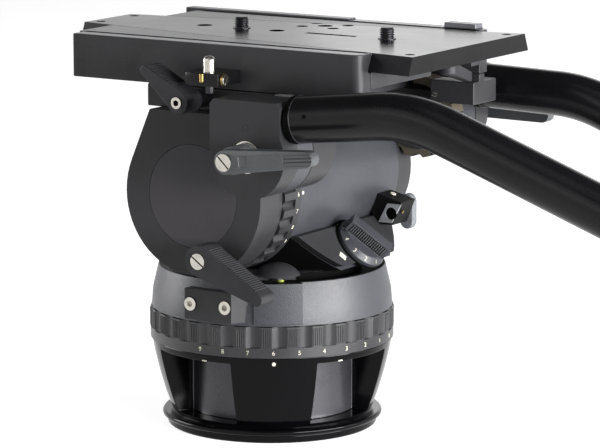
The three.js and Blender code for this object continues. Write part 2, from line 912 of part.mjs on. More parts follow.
function makeCheek(y0, y1, lobe) {
  const top = crownBottomZ - seam;
  const neckOutline = [
    [0, tiltAxisZ],
    [rosetteX, rosetteZ],
    [cheekRearX, top],
    [cheekFrontX, top],
    tangentPoint(cheekFrontX, top, cheekRadius),
  ];
  const lobeDisc = barY(rosetteX, rosetteZ, lobe, y0, y1, mediumSides);
  const above = block(0, rosetteX + lobe + overrun, y0 - overrun, y1 + overrun, top, top + lobe);
  return join(
    barY(0, tiltAxisZ, cheekRadius, y0, y1, largeSides),
    prismY(neckOutline.reverse(), y0, y1),
    cut(lobeDisc, above),
  );
}

function cheekBores(y0, y1) {
  return join(
    barY(0, tiltAxisZ, axleRadius + seam, y0 - overrun, y1 + overrun, mediumSides),
    barY(rosetteX, rosetteZ, rosetteBoreRadius, y0 - overrun, y1 + overrun),
  );
}

function labelPocket(faceY, side) {
  const inner = faceY - side * labelRecess;
  const outer = faceY + side * overrun;
  const low = Math.min(inner, outer);
  return barY(0, tiltAxisZ, labelRadius + seam, low, low + labelRecess + overrun, largeSides);
}

function makeLeftCheek() {
  const cheek = makeCheek(-cheekFaceY, leftCheekInnerY, lobeRadius);
  return cut(cheek, cheekBores(-cheekFaceY, leftCheekInnerY), labelPocket(-cheekFaceY, -1));
}

function makeRightCheek() {
  const cheek = makeCheek(rightCheekInnerY, cheekFaceY, farLobeRadius);
  return cut(cheek, cheekBores(rightCheekInnerY, cheekFaceY), labelPocket(cheekFaceY, 1));
}

function makeLabelDisc() {
  const face = -cheekFaceY;
  return barY(0, tiltAxisZ, labelRadius, face, face + labelPlate, largeSides);
}

// Rosettes: the round seats that the bar brackets turn on
function makeRosette() {
  const inner = -cheekFaceY - seam;
  return cut(
    barY(rosetteX, rosetteZ, lobeRadius, inner - rosetteThickness, inner, mediumSides),
    barY(rosetteX, rosetteZ, rosetteBoreRadius, inner - rosetteThickness - overrun, overrun),
  );
}

// Fluted ring round the right lobe
function makeFlutedRing() {
  const y1 = cheekFaceY - seam;
  const ring = washerY(
    rosetteX,
    rosetteZ,
    farLobeRadius + seam,
    fluteRingRadius,
    y1 - fluteRingWidth,
    y1,
  );
  const flutes = [];
  for (let index = 0; index < fluteCount; index += 1) {
    const angle = radians((fullTurn / fluteCount) * index);
    const reach = fluteRingRadius + fluteRadius / 2;
    flutes.push(barY(
      rosetteX + reach * Math.cos(angle),
      rosetteZ + reach * Math.sin(angle),
      fluteRadius,
      y1 - fluteRingWidth - overrun,
      y1 + overrun,
    ));
  }
  const top = crownBottomZ - seam;
  const fitted = cut(ring, ...flutes);
  return cut(fitted, cheekNeckClear(y1 - fluteRingWidth, y1, top));
}

// The right cheek's neck, grown by the seam, so that the ring passes round it
function cheekNeckClear(y0, y1, top) {
  const outline = [
    [-seam, tiltAxisZ],
    [rosetteX + seam, rosetteZ],
    [cheekRearX + seam, top + lobeRadius],
    [cheekFrontX, top + lobeRadius],
  ];
  return join(
    prismY(outline, y0 - overrun, y1 + overrun),
    barY(0, tiltAxisZ, cheekRadius + seam, y0 - overrun, y1 + overrun, largeSides),
  );
}

// Crown: the bridge over the drum, between the cheeks and the platform
function makeCrown() {
  const half = panelInnerY - seam;
  return prismX([
    [-panelFaceY, crownBottomZ],
    [panelFaceY, crownBottomZ],
    [panelFaceY, crownShoulderZ],
    [half, crownShoulderZ],
    [half, crownTopZ],
    [-half, crownTopZ],
    [-half, crownShoulderZ],
    [-panelFaceY, crownShoulderZ],
  ], crownFrontX, crownRearX);
}

// The wedge plate's form, and the same form grown by a gap for what guides it
function plateHalfAt(x) {
  return plateFrontHalf + (x - plateFrontX) * Math.tan(radians(plateTaper));
}

function wedge(x0, x1, gap, z0, z1) {
  const corners = [];
  [x0, x1].forEach((x) => {
    [-1, 1].forEach((side) => {
      const rise = (plateTopZ - z0) / plateThickness;
      const fall = (plateTopZ - z1) / plateThickness;
      corners.push([x, side * (plateHalfAt(x) + gap + plateFlare * rise), z0]);
      corners.push([x, side * (plateHalfAt(x) + gap + plateFlare * fall), z1]);
    });
  });
  return hull(corners);
}

function makeGuideSpace() {
  return wedge(
    plateFrontX,
    Math.max(plateRearX, slabRearX) + overrun,
    plateGuideGap,
    slabTopZ - seam,
    plateTopZ + overrun,
  );
}

function makeWedgePlate() {
  const body = wedge(plateFrontX, plateRearX, 0, plateBottomZ, plateTopZ);
  const low = plateBottomZ - overrun;
  const high = plateTopZ + overrun;
  const tools = [];
  [plateFrontX + cornerHoleEnd, plateRearX - cornerHoleEnd].forEach((x) => {
    const y = plateHalfAt(x) - cornerHoleSide;
    tools.push(barZ(x, -y, cornerHoleRadius, low, high), barZ(x, y, cornerHoleRadius, low, high));
  });
  centreHoleXs.forEach((x) => tools.push(barZ(x, 0, centreHoleRadius, low, high)));
  tools.push(barZ(clusterX, clusterY, centreHoleRadius, low, high));
  [[-1, -1], [-1, 1], [1, -1], [1, 1]].forEach(([a, b]) => {
    const x = clusterX + a * clusterHalfX;
    tools.push(barZ(x, clusterY + b * clusterHalfY, clusterHoleRadius, low, high));
  });
  const half = slotWidth / 2;
  tools.push(block(slotStartX, slotStartX + slotLength, -half, half, low, high));
  const counterbore = plateBottomZ + cameraScrewHead + seam + seam;
  cameraScrewXs.forEach((x) => {
    tools.push(barZ(x, 0, cameraScrewRadius + seam, low, high));
    tools.push(barZ(x, 0, cameraScrewHeadRadius + seam, low, counterbore));
  });
  return cut(body, ...tools);
}

function makeCameraScrew(x) {
  const headZ = plateBottomZ + seam;
  const shoulderZ = headZ + cameraScrewHead;
  return join(
    barZ(x, 0, cameraScrewHeadRadius, headZ, shoulderZ),
    barZ(x, 0, cameraScrewRadius, headZ, plateTopZ + cameraScrewProud),
  );
}

function makeSlab() {
  const half = panelInnerY - seam;
  return prismZ([
    [slabFrontX, -half],
    [slabRearX, -half],
    [slabRearX, notchInnerY],
    [slabRearX - notchLength, notchInnerY],
    [slabRearX - notchLength, notchOuterY],
    [slabRearX, notchOuterY],
    [slabRearX, half],
    [slabFrontX, half],
  ], slabBottomZ, slabTopZ);
}

// Rails: what is left of a flat bar beside the wedge plate
function makeRail(guide) {
  const outer = panelInnerY - seam;
  const bar = block(slabFrontX, slabRearX, 0, outer, slabTopZ + seam, plateTopZ);
  return cut(bar, guide);
}

function panelOutline() {
  return [
    [panelFrontX, panelInnerY],
    [slabRearX, panelInnerY],
    ...arc(slabRearX - panelCorner, panelFaceY - panelCorner, panelCorner, 0, upright),
    [panelFrontX, panelFaceY],
  ];
}

function makeLeftPanel(guide) {
  return cut(mirrorY(prismZ(panelOutline(), panelBottomZ, panelTopZ)), guide);
}

// The right panel also carries a raised strip and a stop at its rear end
function makeRightPanel(guide) {
  const panel = cut(prismZ(panelOutline(), panelBottomZ, panelTopZ), guide);
  const strip = block(
    stripFrontX,
    stripRearX,
    panelFaceY - stripWidth,
    panelFaceY,
    panelTopZ - stripDepth,
    panelTopZ + stripRise,
  );
  const stop = block(
    slabRearX - panelCorner - stopLength,
    slabRearX - panelCorner,
    panelFaceY - stripWidth,
    panelFaceY,
    panelTopZ - stripDepth,
    panelTopZ + stopRise,
  );
  return join(panel, cut(join(strip, stop), guide));
}

// Safety pin and its block
const pinBlockTopZ = panelTopZ - pinBlockDrop;
const pinBlockBottomZ = pinBlockTopZ - pinBlockHeight;
const pinX = pinBlockFrontX + pinSide;
const pinY = -panelFaceY - pinBlockReach + pinInset;

function makePinBlock() {
  const face = -panelFaceY - pinBlockReach;
  const rear = pinBlockFrontX + pinBlockLength;
  return cut(
    block(pinBlockFrontX, rear, face, -panelFaceY - seam, pinBlockBottomZ, pinBlockTopZ),
    barZ(pinX, pinY, pinRadius + seam, pinBlockBottomZ - overrun, pinBlockTopZ + overrun),
  );
}

function makeSafetyPin() {
  const shoulderZ = pinBlockTopZ + pinProud - pinRadius;
  const nose = arc(0, shoulderZ, pinRadius, 0, upright, arcSteps / 2).slice(0, -1);
  return turned([
    [0, pinBlockBottomZ - pinBelow],
    [pinRadius, pinBlockBottomZ - pinBelow],
    ...nose,
    [0, shoulderZ + pinRadius],
  ], smallSides).translate(pinX, pinY, 0);
}

// Plate clamp lever and its shaft
const clampLeverZ = crownShoulderZ - clampLeverDrop;

function makeClampLever() {
  return armY(
    [clampLeverX, clampLeverZ],
    clampHubRadius,
    [clampTipX, clampLeverZ + clampTipRise],
    clampTipRadius,
    -clampLeverFace,
    -clampLeverFace + clampLeverWidth,
  );
}

function makeClampShaft() {
  const start = -clampLeverFace + clampLeverWidth + seam;
  return barY(clampLeverX, clampLeverZ, clampShaftRadius, start, -panelFaceY - seam);
}

// Tilt brake lever
const brakeLeverZ = tiltAxisZ - brakeLeverDrop;

function makeBrakeLever() {
  const arm = armY(
    [brakeLeverX, brakeLeverZ],
    brakeHubRadius,
    [brakeTipX, tiltAxisZ - brakeTipDrop],
    brakeTipRadius,
    -brakeLeverFace,
    -brakeLeverFace + brakeLeverWidth,
  );
  const hub = barY(
    brakeLeverX,
    brakeLeverZ,
    brakeHubRadius,
    -brakeLeverFace,
    -cheekFaceY - seam,
  );
  return join(arm, hub);
}

// Pan bar bracket: a disc on the rosette with the block and stub of the tube
function makeBracket() {
  const y0 = -bracketFaceY;
  const y1 = -bracketInnerY;
  const top = rosetteZ + bracketBlockTop;
  const front = rosetteX - bracketBlockFront;
  const rear = rosetteX + bracketBlockRear;
  const disc = barY(rosetteX, rosetteZ, bracketRadius, y0, y1, mediumSides);
  const outline = [
    [front, rosetteZ],
    [rear, rosetteZ],
    [rear, top - bracketEdge],
    [rear - bracketEdge, top],
    [front + bracketEdge, top],
    [front, top - bracketEdge],
  ];
  const faceBlock = prismY(outline, y0, y1);
  const thick = prismY(outline, y0, y0 + tubeRadius + tubeRadius);
  const clear = barY(
    rosetteX,
    rosetteZ,
    lobeRadius + bracketGap,
    y1 - seam,
    y1 + tubeRadius + tubeRadius,
    mediumSides,
  );
  const stub = barX(0, 0, tubeRadius - tubeWall - stubWall, -tubeRadius, stubReach);
  const laid = stub.rotate(0, -tubeSlope, 0)
    .translate(rosetteX + tubeStartX, -tubeY, rosetteZ + tubeRise);
  const bore = barY(rosetteX, rosetteZ, rosetteBoreRadius, y0 - overrun, y1 + overrun);
  return cut(join(disc, faceBlock, cut(join(thick, laid), clear)), bore);
}

// The bar's middle line: a rising run, a bend and a falling run
function barPath(from, to) {
  const start = [rosetteX + tubeStartX, rosetteZ + tubeRise];
  const rise = radians(tubeSlope);
  const bendStart = [
    start[0] + tubeFirstRun * Math.cos(rise),
    start[1] + tubeFirstRun * Math.sin(rise),
  ];
  const centre = [
    bendStart[0] + tubeBendRadius * Math.sin(rise),
    bendStart[1] - tubeBendRadius * Math.cos(rise),
  ];
  const bend = arc(
    centre[0],
    centre[1],
    tubeBendRadius,
    upright + tubeSlope,
    upright - tubeFall,
    bendSteps,
  );
  const fall = radians(tubeFall);
  const last = bend[bend.length - 1];
  const alongFall = (length) => [
    last[0] + length * Math.cos(fall),
    last[1] - length * Math.sin(fall),
  ];
  const points = from === 0
    ? [start, ...bend, alongFall(to)]
    : [alongFall(from), alongFall(to)];
  return points.map(([x, z]) => new THREE.Vector3(x, -tubeY, z));
}

// A round tube along straight pieces, with a ring of points at each corner
function tubeAlong(places, outer, inner) {
  const rings = places.map((place, index) => {
    const ahead = places[Math.min(index + 1, places.length - 1)];
    const behind = places[Math.max(index - 1, 0)];
    const along = new THREE.Vector3().subVectors(ahead, behind).normalize();
    const up = new THREE.Vector3().crossVectors(axisY, along).negate();
    return { place, up };
  });
  const positions = [];
  const radii = [outer, inner];
  rings.forEach(({ place, up }) => {
    radii.forEach((radius) => {
      for (let side = 0; side < tubeSides; side += 1) {
        const angle = (2 * Math.PI * side) / tubeSides;
        const point = place.clone();
        point.addScaledVector(up, radius * Math.sin(angle));
        point.addScaledVector(axisY, radius * Math.cos(angle));
        positions.push(point.x, point.y, point.z);
      }
    });
  });
  const faces = [];
  const lastRing = rings.length - 1;
  const at = ([ring, skin], side) => {
    return (ring * radii.length + skin) * tubeSides + (side % tubeSides);
  };
  // A band of faces between two circles of points
  const band = (from, to) => {
    for (let side = 0; side < tubeSides; side += 1) {
      const corners = [at(from, side), at(from, side + 1), at(to, side + 1), at(to, side)];
      faces.push(corners[0], corners[1], corners[2], corners[0], corners[2], corners[3]);
    }
  };
  for (let ring = 0; ring < lastRing; ring += 1) {
    band([ring, 0], [ring + 1, 0]);
    band([ring + 1, 1], [ring, 1]);
  }
  band([0, 1], [0, 0]);
  band([lastRing, 0], [lastRing, 1]);
  const geometry = new THREE.BufferGeometry();
  geometry.setAttribute('position', new THREE.Float32BufferAttribute(positions, 3));
  geometry.setIndex(faces);
  return solid(geometry);
}

function makeBarTube() {
  return tubeAlong(barPath(0, tubeSecondRun), tubeRadius, tubeRadius - tubeWall);
}

function makeBarGrip() {
  const sleeve = barPath(tubeSecondRun - gripOverlap, tubeSecondRun + gripCap);
  const bore = barPath(tubeSecondRun - gripOverlap - overrun, tubeSecondRun + seam);
  const solidBar = (places, radius) => {
    const span = new THREE.Vector3().subVectors(places[1], places[0]);
    const middle = new THREE.Vector3().addVectors(places[0], places[1]).multiplyScalar(1 / 2);
    const bar = barX(0, 0, radius, -span.length() / 2, span.length() / 2, tubeSides);
    return bar.rotate(0, tubeFall, 0).translate(middle.x, middle.y, middle.z);
  };
  return cut(solidBar(sleeve, gripRadius), solidBar(bore, tubeRadius + seam));
}

// Clamp lever of a pan bar, with its washer and the rod through the rosette
function makeBarLever() {
  const face = -bracketFaceY - seam;
  const washer = barY(rosetteX, rosetteZ, barWasherRadius, face - barWasher, face);
  const armFace = face - barLeverReach;
  const armBack = armFace + barLeverWidth;
  const boss = barY(rosetteX, rosetteZ, barLeverBossRadius, armBack - seam, face - barWasher);
  const arm = armY(
    [rosetteX, rosetteZ],
    barLeverHubRadius,
    [rosetteX + barLeverTipX, rosetteZ],
    barLeverTipRadius,
    armFace,
    armBack,
  );
  const rod = barY(rosetteX, rosetteZ, clampRodRadius, face - barWasher, -cheekFaceY - seam);
  return join(washer, boss, arm, rod);
}

// Tilt lock: a block on the drum's rear with a small lever on its outer end
const lockZ = tiltAxisZ - lockBlockDrop;
const lockFaceX = drumRadius * Math.cos(Math.asin(lockBlockDrop / drumRadius)) + lockBlockReach;

function makeLockBlock() {
  const y0 = lockBlockY - lockBlockLength / 2;
  const y1 = lockBlockY + lockBlockLength / 2;
  const noseX = lockFaceX + lockNoseReach;
  const body = prismY([
    [0, lockZ - lockBlockFall],
    [noseX - lockNoseLean, lockZ - lockBlockFall],
    [noseX, lockZ + lockNoseRise],
    [lockFaceX - lockBlockSlope, lockZ + lockBlockTopRise],
    [0, lockZ + lockBlockTopRise],
  ], y0, y1);
  const drum = barY(0, tiltAxisZ, drumRadius + seam, y0 - overrun, y1 + overrun, largeSides);
  const desk = prismY([
    [0, tiltAxisZ - drumRadius - overrun],
    [deskXAt(tiltAxisZ - drumRadius - overrun, seam), tiltAxisZ - drumRadius - overrun],
    [deskXAt(creaseZ, seam), creaseZ],
    [0, creaseZ],
  ], y0 - overrun, y1 + overrun);
  return cut(body, drum, desk);
}

const lockLeverY = lockBlockY + lockBlockLength / 2 + seam;
const lockPivotX = lockFaceX + lockLeverOverhang;

function makeLockLever() {
  const half = lockLeverWidth / 2;
  return armY(
    [lockPivotX, lockZ + lockLeverLength / 2 - half],
    half,
    [lockPivotX, lockZ - lockLeverLength / 2 + half],
    half,
    lockLeverY,
    lockLeverY + lockLeverThickness,
  );
}

// Release latch: a block hanging from the right panel, with a thumb lever on top
const latchTopZ = panelBottomZ - latchDrop;

function makeLatchBlock() {
  const main = prismZ([
    [latchFrontX, latchInnerY],
    [slabRearX, latchInnerY],
    [slabRearX, latchOuterY],
    [latchStepX, latchOuterY],
    [latchStepX, latchStepY],
    [latchFrontX, latchStepY],
  ], latchTopZ - latchHeight, latchTopZ);
  const neckY = panelInnerY + seam;
  const neck = block(
    slabRearX - latchNeckLength,
    slabRearX,
    neckY,
    neckY + latchNeckWidth,
    latchTopZ - seam,
    panelBottomZ - seam,
  );
  return join(main, neck);
}

function makeThumbLever() {
  const pivotY = latchInnerY + thumbPivotInset - seam;
  const z0 = latchTopZ + seam;
  const ends = [
    [thumbPivotX, pivotY, thumbPivotRadius, z0],
    [thumbPivotX, pivotY - thumbReach, thumbEndRadius, z0 + thumbLift],
  ];
  return hull(ends.flatMap(([x, y, radius, z]) => [z, z + thumbThickness].flatMap(
    (level) => circle(x, y, radius, smallSides).map(([a, b]) => [a, b, level]),
  )));
}

// What stays put
add('foot_plate', makeFootPlate(), glossBlack);
add('base_casting', makeBaseCasting(), glossBlack);
add('pan_spindle', makePanSpindle(), darkSteel);
add('pan_drag_cartridge', makePanCartridge(), darkSteel);

// What turns on the pan axis
add('pan_drag_ring', makePanRing(), castGrey);
add('pan_bearing_lower', makePanBearing(0), brightNickel);
add('pan_bearing_upper', makePanBearing(1), brightNickel);
add('pan_housing', makePanHousing(), castGrey);
add('level_hood', makeLevelHood(), castGrey);
add('level_vial', makeLevelVial(), levelFluid);
add('pan_brake_block', makePanBrakeBlock(), blackSatin);
add('pan_brake_screw_front', makeBrakeScrew(-1), brightNickel);
add('pan_brake_screw_rear', makeBrakeScrew(1), brightNickel);
add('tilt_housing', makeTiltHousing(), castGrey);
add('tilt_bearing_left', makeTiltBearing(drumNearY - drumNeck + seam), brightNickel);
add('tilt_bearing_right', makeTiltBearing(drumFarY - bearingWidth - seam), brightNickel);
add('tilt_drag_cartridge', makeTiltCartridge(), darkSteel);
add('counterbalance_cover', makeCounterbalanceCover(), castGrey);
add('counterbalance_dial', makeCounterbalanceDial(), castGrey);
add('tilt_drag_ring', makeTiltRing(), castGrey);
add('tilt_lock_block', makeLockBlock(), mouldedBlack);
add('tilt_lock_lever', makeLockLever(), plateGrey);

// What tilts
const guideSpace = makeGuideSpace();
const rightRail = makeRail(guideSpace);
add('tilt_axle', makeTiltAxle(), darkSteel);
add('counterbalance_springs', makeSpringPack(), darkSteel);
add('left_cheek', makeLeftCheek(), blackSatin);
add('right_cheek', makeRightCheek(), blackSatin);
add('label_disc', makeLabelDisc(), labelGrey);
add('right_label_disc', mirrorY(makeLabelDisc()), labelGrey);
add('left_rosette', makeRosette(), castGrey);
add('right_rosette', mirrorY(makeRosette()), castGrey);
add('fluted_ring', makeFlutedRing(), bronze);
add('crown', makeCrown(), blackSatin);
add('platform_slab', makeSlab(), blackSatin);
add('left_rail', mirrorY(rightRail), plateGrey);
add('right_rail', rightRail, plateGrey);
add('left_side_panel', makeLeftPanel(guideSpace), blackSatin);
add('right_side_panel', makeRightPanel(guideSpace), blackSatin);
add('pin_block', makePinBlock(), mouldedBlack);
add('safety_pin', makeSafetyPin(), brightNickel);
add('plate_clamp_lever', makeClampLever(), mouldedBlack);
add('plate_clamp_shaft', makeClampShaft(), darkSteel);
add('tilt_brake_lever', makeBrakeLever(), mouldedBlack);
add('latch_block', makeLatchBlock(), blackSatin);
add('thumb_lever', makeThumbLever(), mouldedBlack);

// The sliding plate and its camera screws
add('wedge_plate', makeWedgePlate(), plateGrey);
cameraScrewXs.forEach((x, index) => {
  add(`camera_screw_${['front', 'rear'][index]}`, makeCameraScrew(x), darkSteel);
});

// The pan bars
const bracket = makeBracket();
const tube = makeBarTube();
const grip = makeBarGrip();
const lever = makeBarLever();

function onRight(body, turn) {
  return swing(mirrorY(body), rosetteX, rosetteZ, turn);
}

add('left_bar_bracket', bracket, blackSatin);
add('left_bar_tube', tube, glossBlack);
add('left_bar_grip', grip, rubberBlack);
add('left_bar_lever', swing(lever, rosetteX, rosetteZ, barLeverTurn), mouldedBlack);
add('right_bar_bracket', onRight(bracket, -farBarTurn), blackSatin);
add('right_bar_tube', onRight(tube, -farBarTurn), glossBlack);
add('right_bar_grip', onRight(grip, -farBarTurn), rubberBlack);
add('right_bar_lever', onRight(lever, farLeverTurn), mouldedBlack);

export default head;
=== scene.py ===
"""Looks of the studio fluid head: rounded edges, finishes, screws, grips and figures."""

import json
import math

import bpy
from mathutils import Matrix, Vector


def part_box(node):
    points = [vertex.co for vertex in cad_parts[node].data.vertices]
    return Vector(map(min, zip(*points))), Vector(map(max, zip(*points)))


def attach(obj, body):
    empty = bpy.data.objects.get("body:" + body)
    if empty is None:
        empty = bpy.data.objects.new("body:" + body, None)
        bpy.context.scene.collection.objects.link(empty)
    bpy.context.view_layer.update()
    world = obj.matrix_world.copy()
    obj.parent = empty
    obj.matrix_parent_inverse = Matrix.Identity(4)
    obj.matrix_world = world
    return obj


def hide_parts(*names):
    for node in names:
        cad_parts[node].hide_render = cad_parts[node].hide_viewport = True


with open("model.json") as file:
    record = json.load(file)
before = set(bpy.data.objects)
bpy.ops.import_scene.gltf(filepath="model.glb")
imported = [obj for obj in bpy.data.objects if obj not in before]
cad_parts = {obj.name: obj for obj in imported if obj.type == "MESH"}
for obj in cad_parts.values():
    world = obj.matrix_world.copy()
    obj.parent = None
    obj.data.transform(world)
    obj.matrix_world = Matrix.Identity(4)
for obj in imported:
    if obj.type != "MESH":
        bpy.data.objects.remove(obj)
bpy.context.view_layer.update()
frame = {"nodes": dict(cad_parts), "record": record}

MM = 0.001
UP = (0, 0, 1)
SIDES = ((-1, "left"), (1, "right"))

# Heights, radii and places that the solids share, in millimetres, and turns in degrees
FOOT_RADIUS = 61.5
WINDOW_RADIUS = 57.5
WINDOW_FOOT_Z, WINDOW_HEAD_Z = 12.0, 55.0
BASE_RIM_RADIUS = 79.6
DISH_RADIUS = 73.0
DISH_FLOOR_Z = 95.0
RING_RADIUS = 81.0
RING_BAND_Z = 62.3
LAND_RADIUS = 80.6
LAND_MIDDLE_Z = 72.3
LAND_RIB_STEP = 0.98
TILT_Z = 164.9
TILT_RING_RADIUS = 53.5
TILT_BAND_Y = -51.7
DRUM_RADIUS = 52.0
SHADE_TOP_Z = 141.0
DESK_RISE = 42.0
DESK_OUT = Vector((math.cos(math.radians(DESK_RISE)), 0, math.sin(math.radians(DESK_RISE))))
DIAL_CENTRE = (59.118, 14.5, 122.407)
DIAL_FIGURE_RADIUS = 16.7
DIAL_FIGURE_LIFT = 4.3
DIAL_FIGURE_START, DIAL_FIGURE_STEP = -8, -33
DIAL_GRIP_TURN = 31.0
FLANK_LEAN = 81.5
FLANK_LIFT = 9.7
DESK_MARK_TURN = 30
LOCK_X, LOCK_FACE_Y, LOCK_Z = 60.2, 52.1, 138.2
LOCK_BORE_SHIFT = 1.2
ROSETTE_X = 64.6
ROSETTE_Z = 200.5
FLUTE_RADIUS = 27.8
BRACKET_FACE_Y = -129.0
WASHER_Y = 129.25
LEVER_FACE_Y = 155.3
LEVER_BACK_Y = -96.0
BRAKE_HUB = (16.2, 127.1)
BRAKE_FACE_Y = -112.0
CLAMP_HUB = (2.0, 227.9)
CLAMP_FACE_Y = -114.0
PLATE_TOP_Z = 262.5
PANEL_TOP_Z = 262.6
GROOVE_START, GROOVE_END, GROOVE_Y = -100.0, 116.5, 70.2
PIN_AXIS = (19.2, -103.0)
THREAD_ROOT, THREAD_CREST, THREAD_PITCH = 4.1, 4.85, 1.5

# Figures on both drag rings, with 6 at the index. The base's dot stands 0.1 degrees further on
FIGURE_STEP = 12
INDEXED_FIGURE = 6
PAN_FIGURE_TURN = -56.7
PAN_INDEX_TURN = -56.6
INK_DEPTH = 0.12
MARK_SINK = 0.3

# The pan bars: they rise, bend and fall to their grips. Each body stands turned like this at rest
BAR_Y = 114.0
TUBE_RADIUS = 14.95
BAR_START_X, BAR_START_Z = ROSETTE_X + 26.5, ROSETTE_Z + 23.6
BAR_BEFORE_BEND = 58
BAR_RISE = 6.4
BAR_FALL = 20
BEND_RADIUS = 108
BEND_STEPS = 24
BAR_AFTER_BEND = 231.0
GRIP_AT = 128
REST_TURNS = {"left_bar": 0.0, "left_clamp": 6.2, "right_bar": -8.0, "right_clamp": -3.0}

# Degrees from which an edge of a screw head is rounded, or an edge of a turned piece stays sharp
HEAD_ANGLE = 40
LATHE_ANGLE = 40

# Stage: the photo's camera, fitted to the picture in degrees, metres and pixels, and the light
VIEW_AZIMUTH, VIEW_RISE, VIEW_DISTANCE, VIEW_FOCAL = 32.66, 10.39, 2.332, 3507.0
VIEW_HEIGHT = 0.1168
PHOTO_SIZE = (600, 448)
PHOTO_MIDDLE = (272.0, 248.0)
SENSOR_WIDTH = 36
HEAD_MIDDLE = (0.02, 0, 0.15)
FLOOR_LIFT = 0.8
CEILING_GREY = 0.06


# Materials

COLOUR_SPREAD = (0.75, 1.25)
GLOSS_SPREAD = 0.15
BUMP_SHARE = 0.3


def linear(hex_code):
    """An sRGB hex value as the linear colour that shaders take."""
    channels = []
    for index in (0, 2, 4):
        value = int(hex_code[index:index + 2], 16) / 255
        low = value / 12.92
        high = ((value + 0.055) / 1.055) ** 2.4
        channels.append(low if value <= 0.04045 else high)
    return (*channels, 1.0)


def add_node(tree, kind, links=(), settings=(), **values):
    """A node with its properties, socket values and incoming links."""
    new = tree.nodes.new(kind)
    for key, value in dict(settings).items():
        setattr(new, key, value)
    for key, value in values.items():
        name = key.replace("_", " ")
        new.inputs[name if name in new.inputs else int(key[1:])].default_value = value
    for target, source in dict(links).items():
        tree.links.new(source, new.inputs[target])
    return new


def new_material(name):
    """A material with its node tree, its shader and the place on the piece."""
    made = bpy.data.materials.new(name)
    made.use_nodes = True
    tree = made.node_tree
    shader = tree.nodes["Principled BSDF"]
    place = add_node(tree, "ShaderNodeTexCoord").outputs["Object"]
    return made, tree, shader, place


def ramp(tree, source, low, high, start=0.0, end=1.0):
    """A two-colour ramp over a value."""
    made = add_node(tree, "ShaderNodeValToRGB", links={"Fac": source})
    for stop, position, colour in zip(made.color_ramp.elements, (start, end), (low, high)):
        stop.position = position
        stop.color = colour
    return made.outputs["Color"]


def mapped(tree, source, out_low, out_high):
    """A value from 0 to 1 stretched between two others."""
    made = add_node(tree, "ShaderNodeMapRange", links={"Value": source})
    made.inputs["To Min"].default_value = out_low
    made.inputs["To Max"].default_value = out_high
    return made.outputs["Result"]


def surface(name, dark, light, grain, rough, bump, metal=0.0, mottle=40.0, coat=0.0,
            stretch=(1, 1, 1), specular=0.5):
    """A coated or machined surface: a fine grain for bump, and a broad mottle for its gloss.

    grain and mottle are the sizes of one speck and one cloud, in millimetres. Their sum shifts
    the colour between dark and light over COLOUR_SPREAD, the mottle shifts the roughness by
    GLOSS_SPREAD of it, and a bump is BUMP_SHARE of a speck high. stretch pulls the grain along
    an axis.
    """
    made, tree, shader, place = new_material(name)
    turned = add_node(tree, "ShaderNodeMapping", links={"Vector": place}, Scale=stretch)
    fine = add_node(tree, "ShaderNodeTexNoise", links={"Vector": turned.outputs[0]},
                    Scale=1 / (grain * MM), Detail=3.0)
    broad = add_node(tree, "ShaderNodeTexNoise", links={"Vector": place},
                     Scale=1 / (mottle * MM), Detail=4.0)
    both = add_node(tree, "ShaderNodeMath", links={0: fine.outputs["Fac"], 1: broad.outputs["Fac"]},
                    settings={"operation": "ADD"})
    colour = ramp(tree, both.outputs[0], linear(dark), linear(light), *COLOUR_SPREAD)
    tree.links.new(colour, shader.inputs["Base Color"])
    gloss = mapped(tree, broad.outputs["Fac"], rough * (1 - GLOSS_SPREAD),
                   rough * (1 + GLOSS_SPREAD))
    tree.links.new(gloss, shader.inputs["Roughness"])
    raised = add_node(tree, "ShaderNodeBump", links={"Height": fine.outputs["Fac"]},
                      Strength=bump, Distance=grain * MM * BUMP_SHARE)
    tree.links.new(raised.outputs[0], shader.inputs["Normal"])
    shader.inputs["Metallic"].default_value = metal
    shader.inputs["Specular IOR Level"].default_value = specular
    if coat:
        shader.inputs["Coat Weight"].default_value = coat
        shader.inputs["Coat Roughness"].default_value = 0.08
    return made


# Black anodised aluminium, bead blasted: an even satin sheen with a very fine grain
anodised_black = surface("anodised_black", "2b2b2c", "39393b", 0.5, 0.36, 0.3, specular=0.2)
# Cast aluminium under grey powder coat: a gritty grain that breaks up the highlight
powder_coat = surface("powder_coat_grey", "303136", "404146", 0.8, 0.38, 0.7, specular=0.4)
# The drag rings: black anodised and finely turned, so the light runs down them in stripes
turned_ring = surface("anodised_ring", "212124", "2e2e30", 0.4, 0.33, 0.15, stretch=(1, 1, 0.2),
                      specular=0.42)
# Black gloss lacquer on the cast base: nearly a mirror, with faint cloudiness
gloss_lacquer = surface("gloss_black_lacquer", "030304", "060608", 1.2, 0.12, 0.05,
                        specular=0.12)
# Painted highlight: the base's window walls are the same lacquered casting, drawn lighter and satin
# to stand in for the light they catch; also the light edge of the bars' collars
painted_highlight_satin = surface("window_wall_painted_highlight", "313134", "424246", 0.5, 0.3, 0.1, metal=0.5,
                       stretch=(1, 1, 0.3))
# Satin lacquer on the drawn tubes: a softer mirror than the base
tube_lacquer = surface("satin_tube_lacquer", "0b0b0e", "151517", 0.9, 0.24, 0.1, specular=0.2)
# Hard anodised sliding plate, brushed along X: streaks under a satin sheen
plate_anodised = surface("hard_anodised_plate", "161619", "202024", 0.5, 0.24, 0.06,
                         stretch=(0.12, 1, 1), specular=0.25)
# Glass filled nylon: matt black moulding with a leathery grain
moulded_nylon = surface("moulded_nylon", "2a2a2b", "363639", 0.7, 0.46, 0.45, specular=0.2)
# Grey anodised levers: between the black mouldings and bare metal
grey_anodised = surface("grey_anodised", "494a4c", "5c5e61", 0.5, 0.42, 0.25, specular=0.35)
# Grey moulded paddle of the tilt lock
grey_moulding = surface("grey_moulding", "717378", "86898e", 0.7, 0.5, 0.3, specular=0.3)
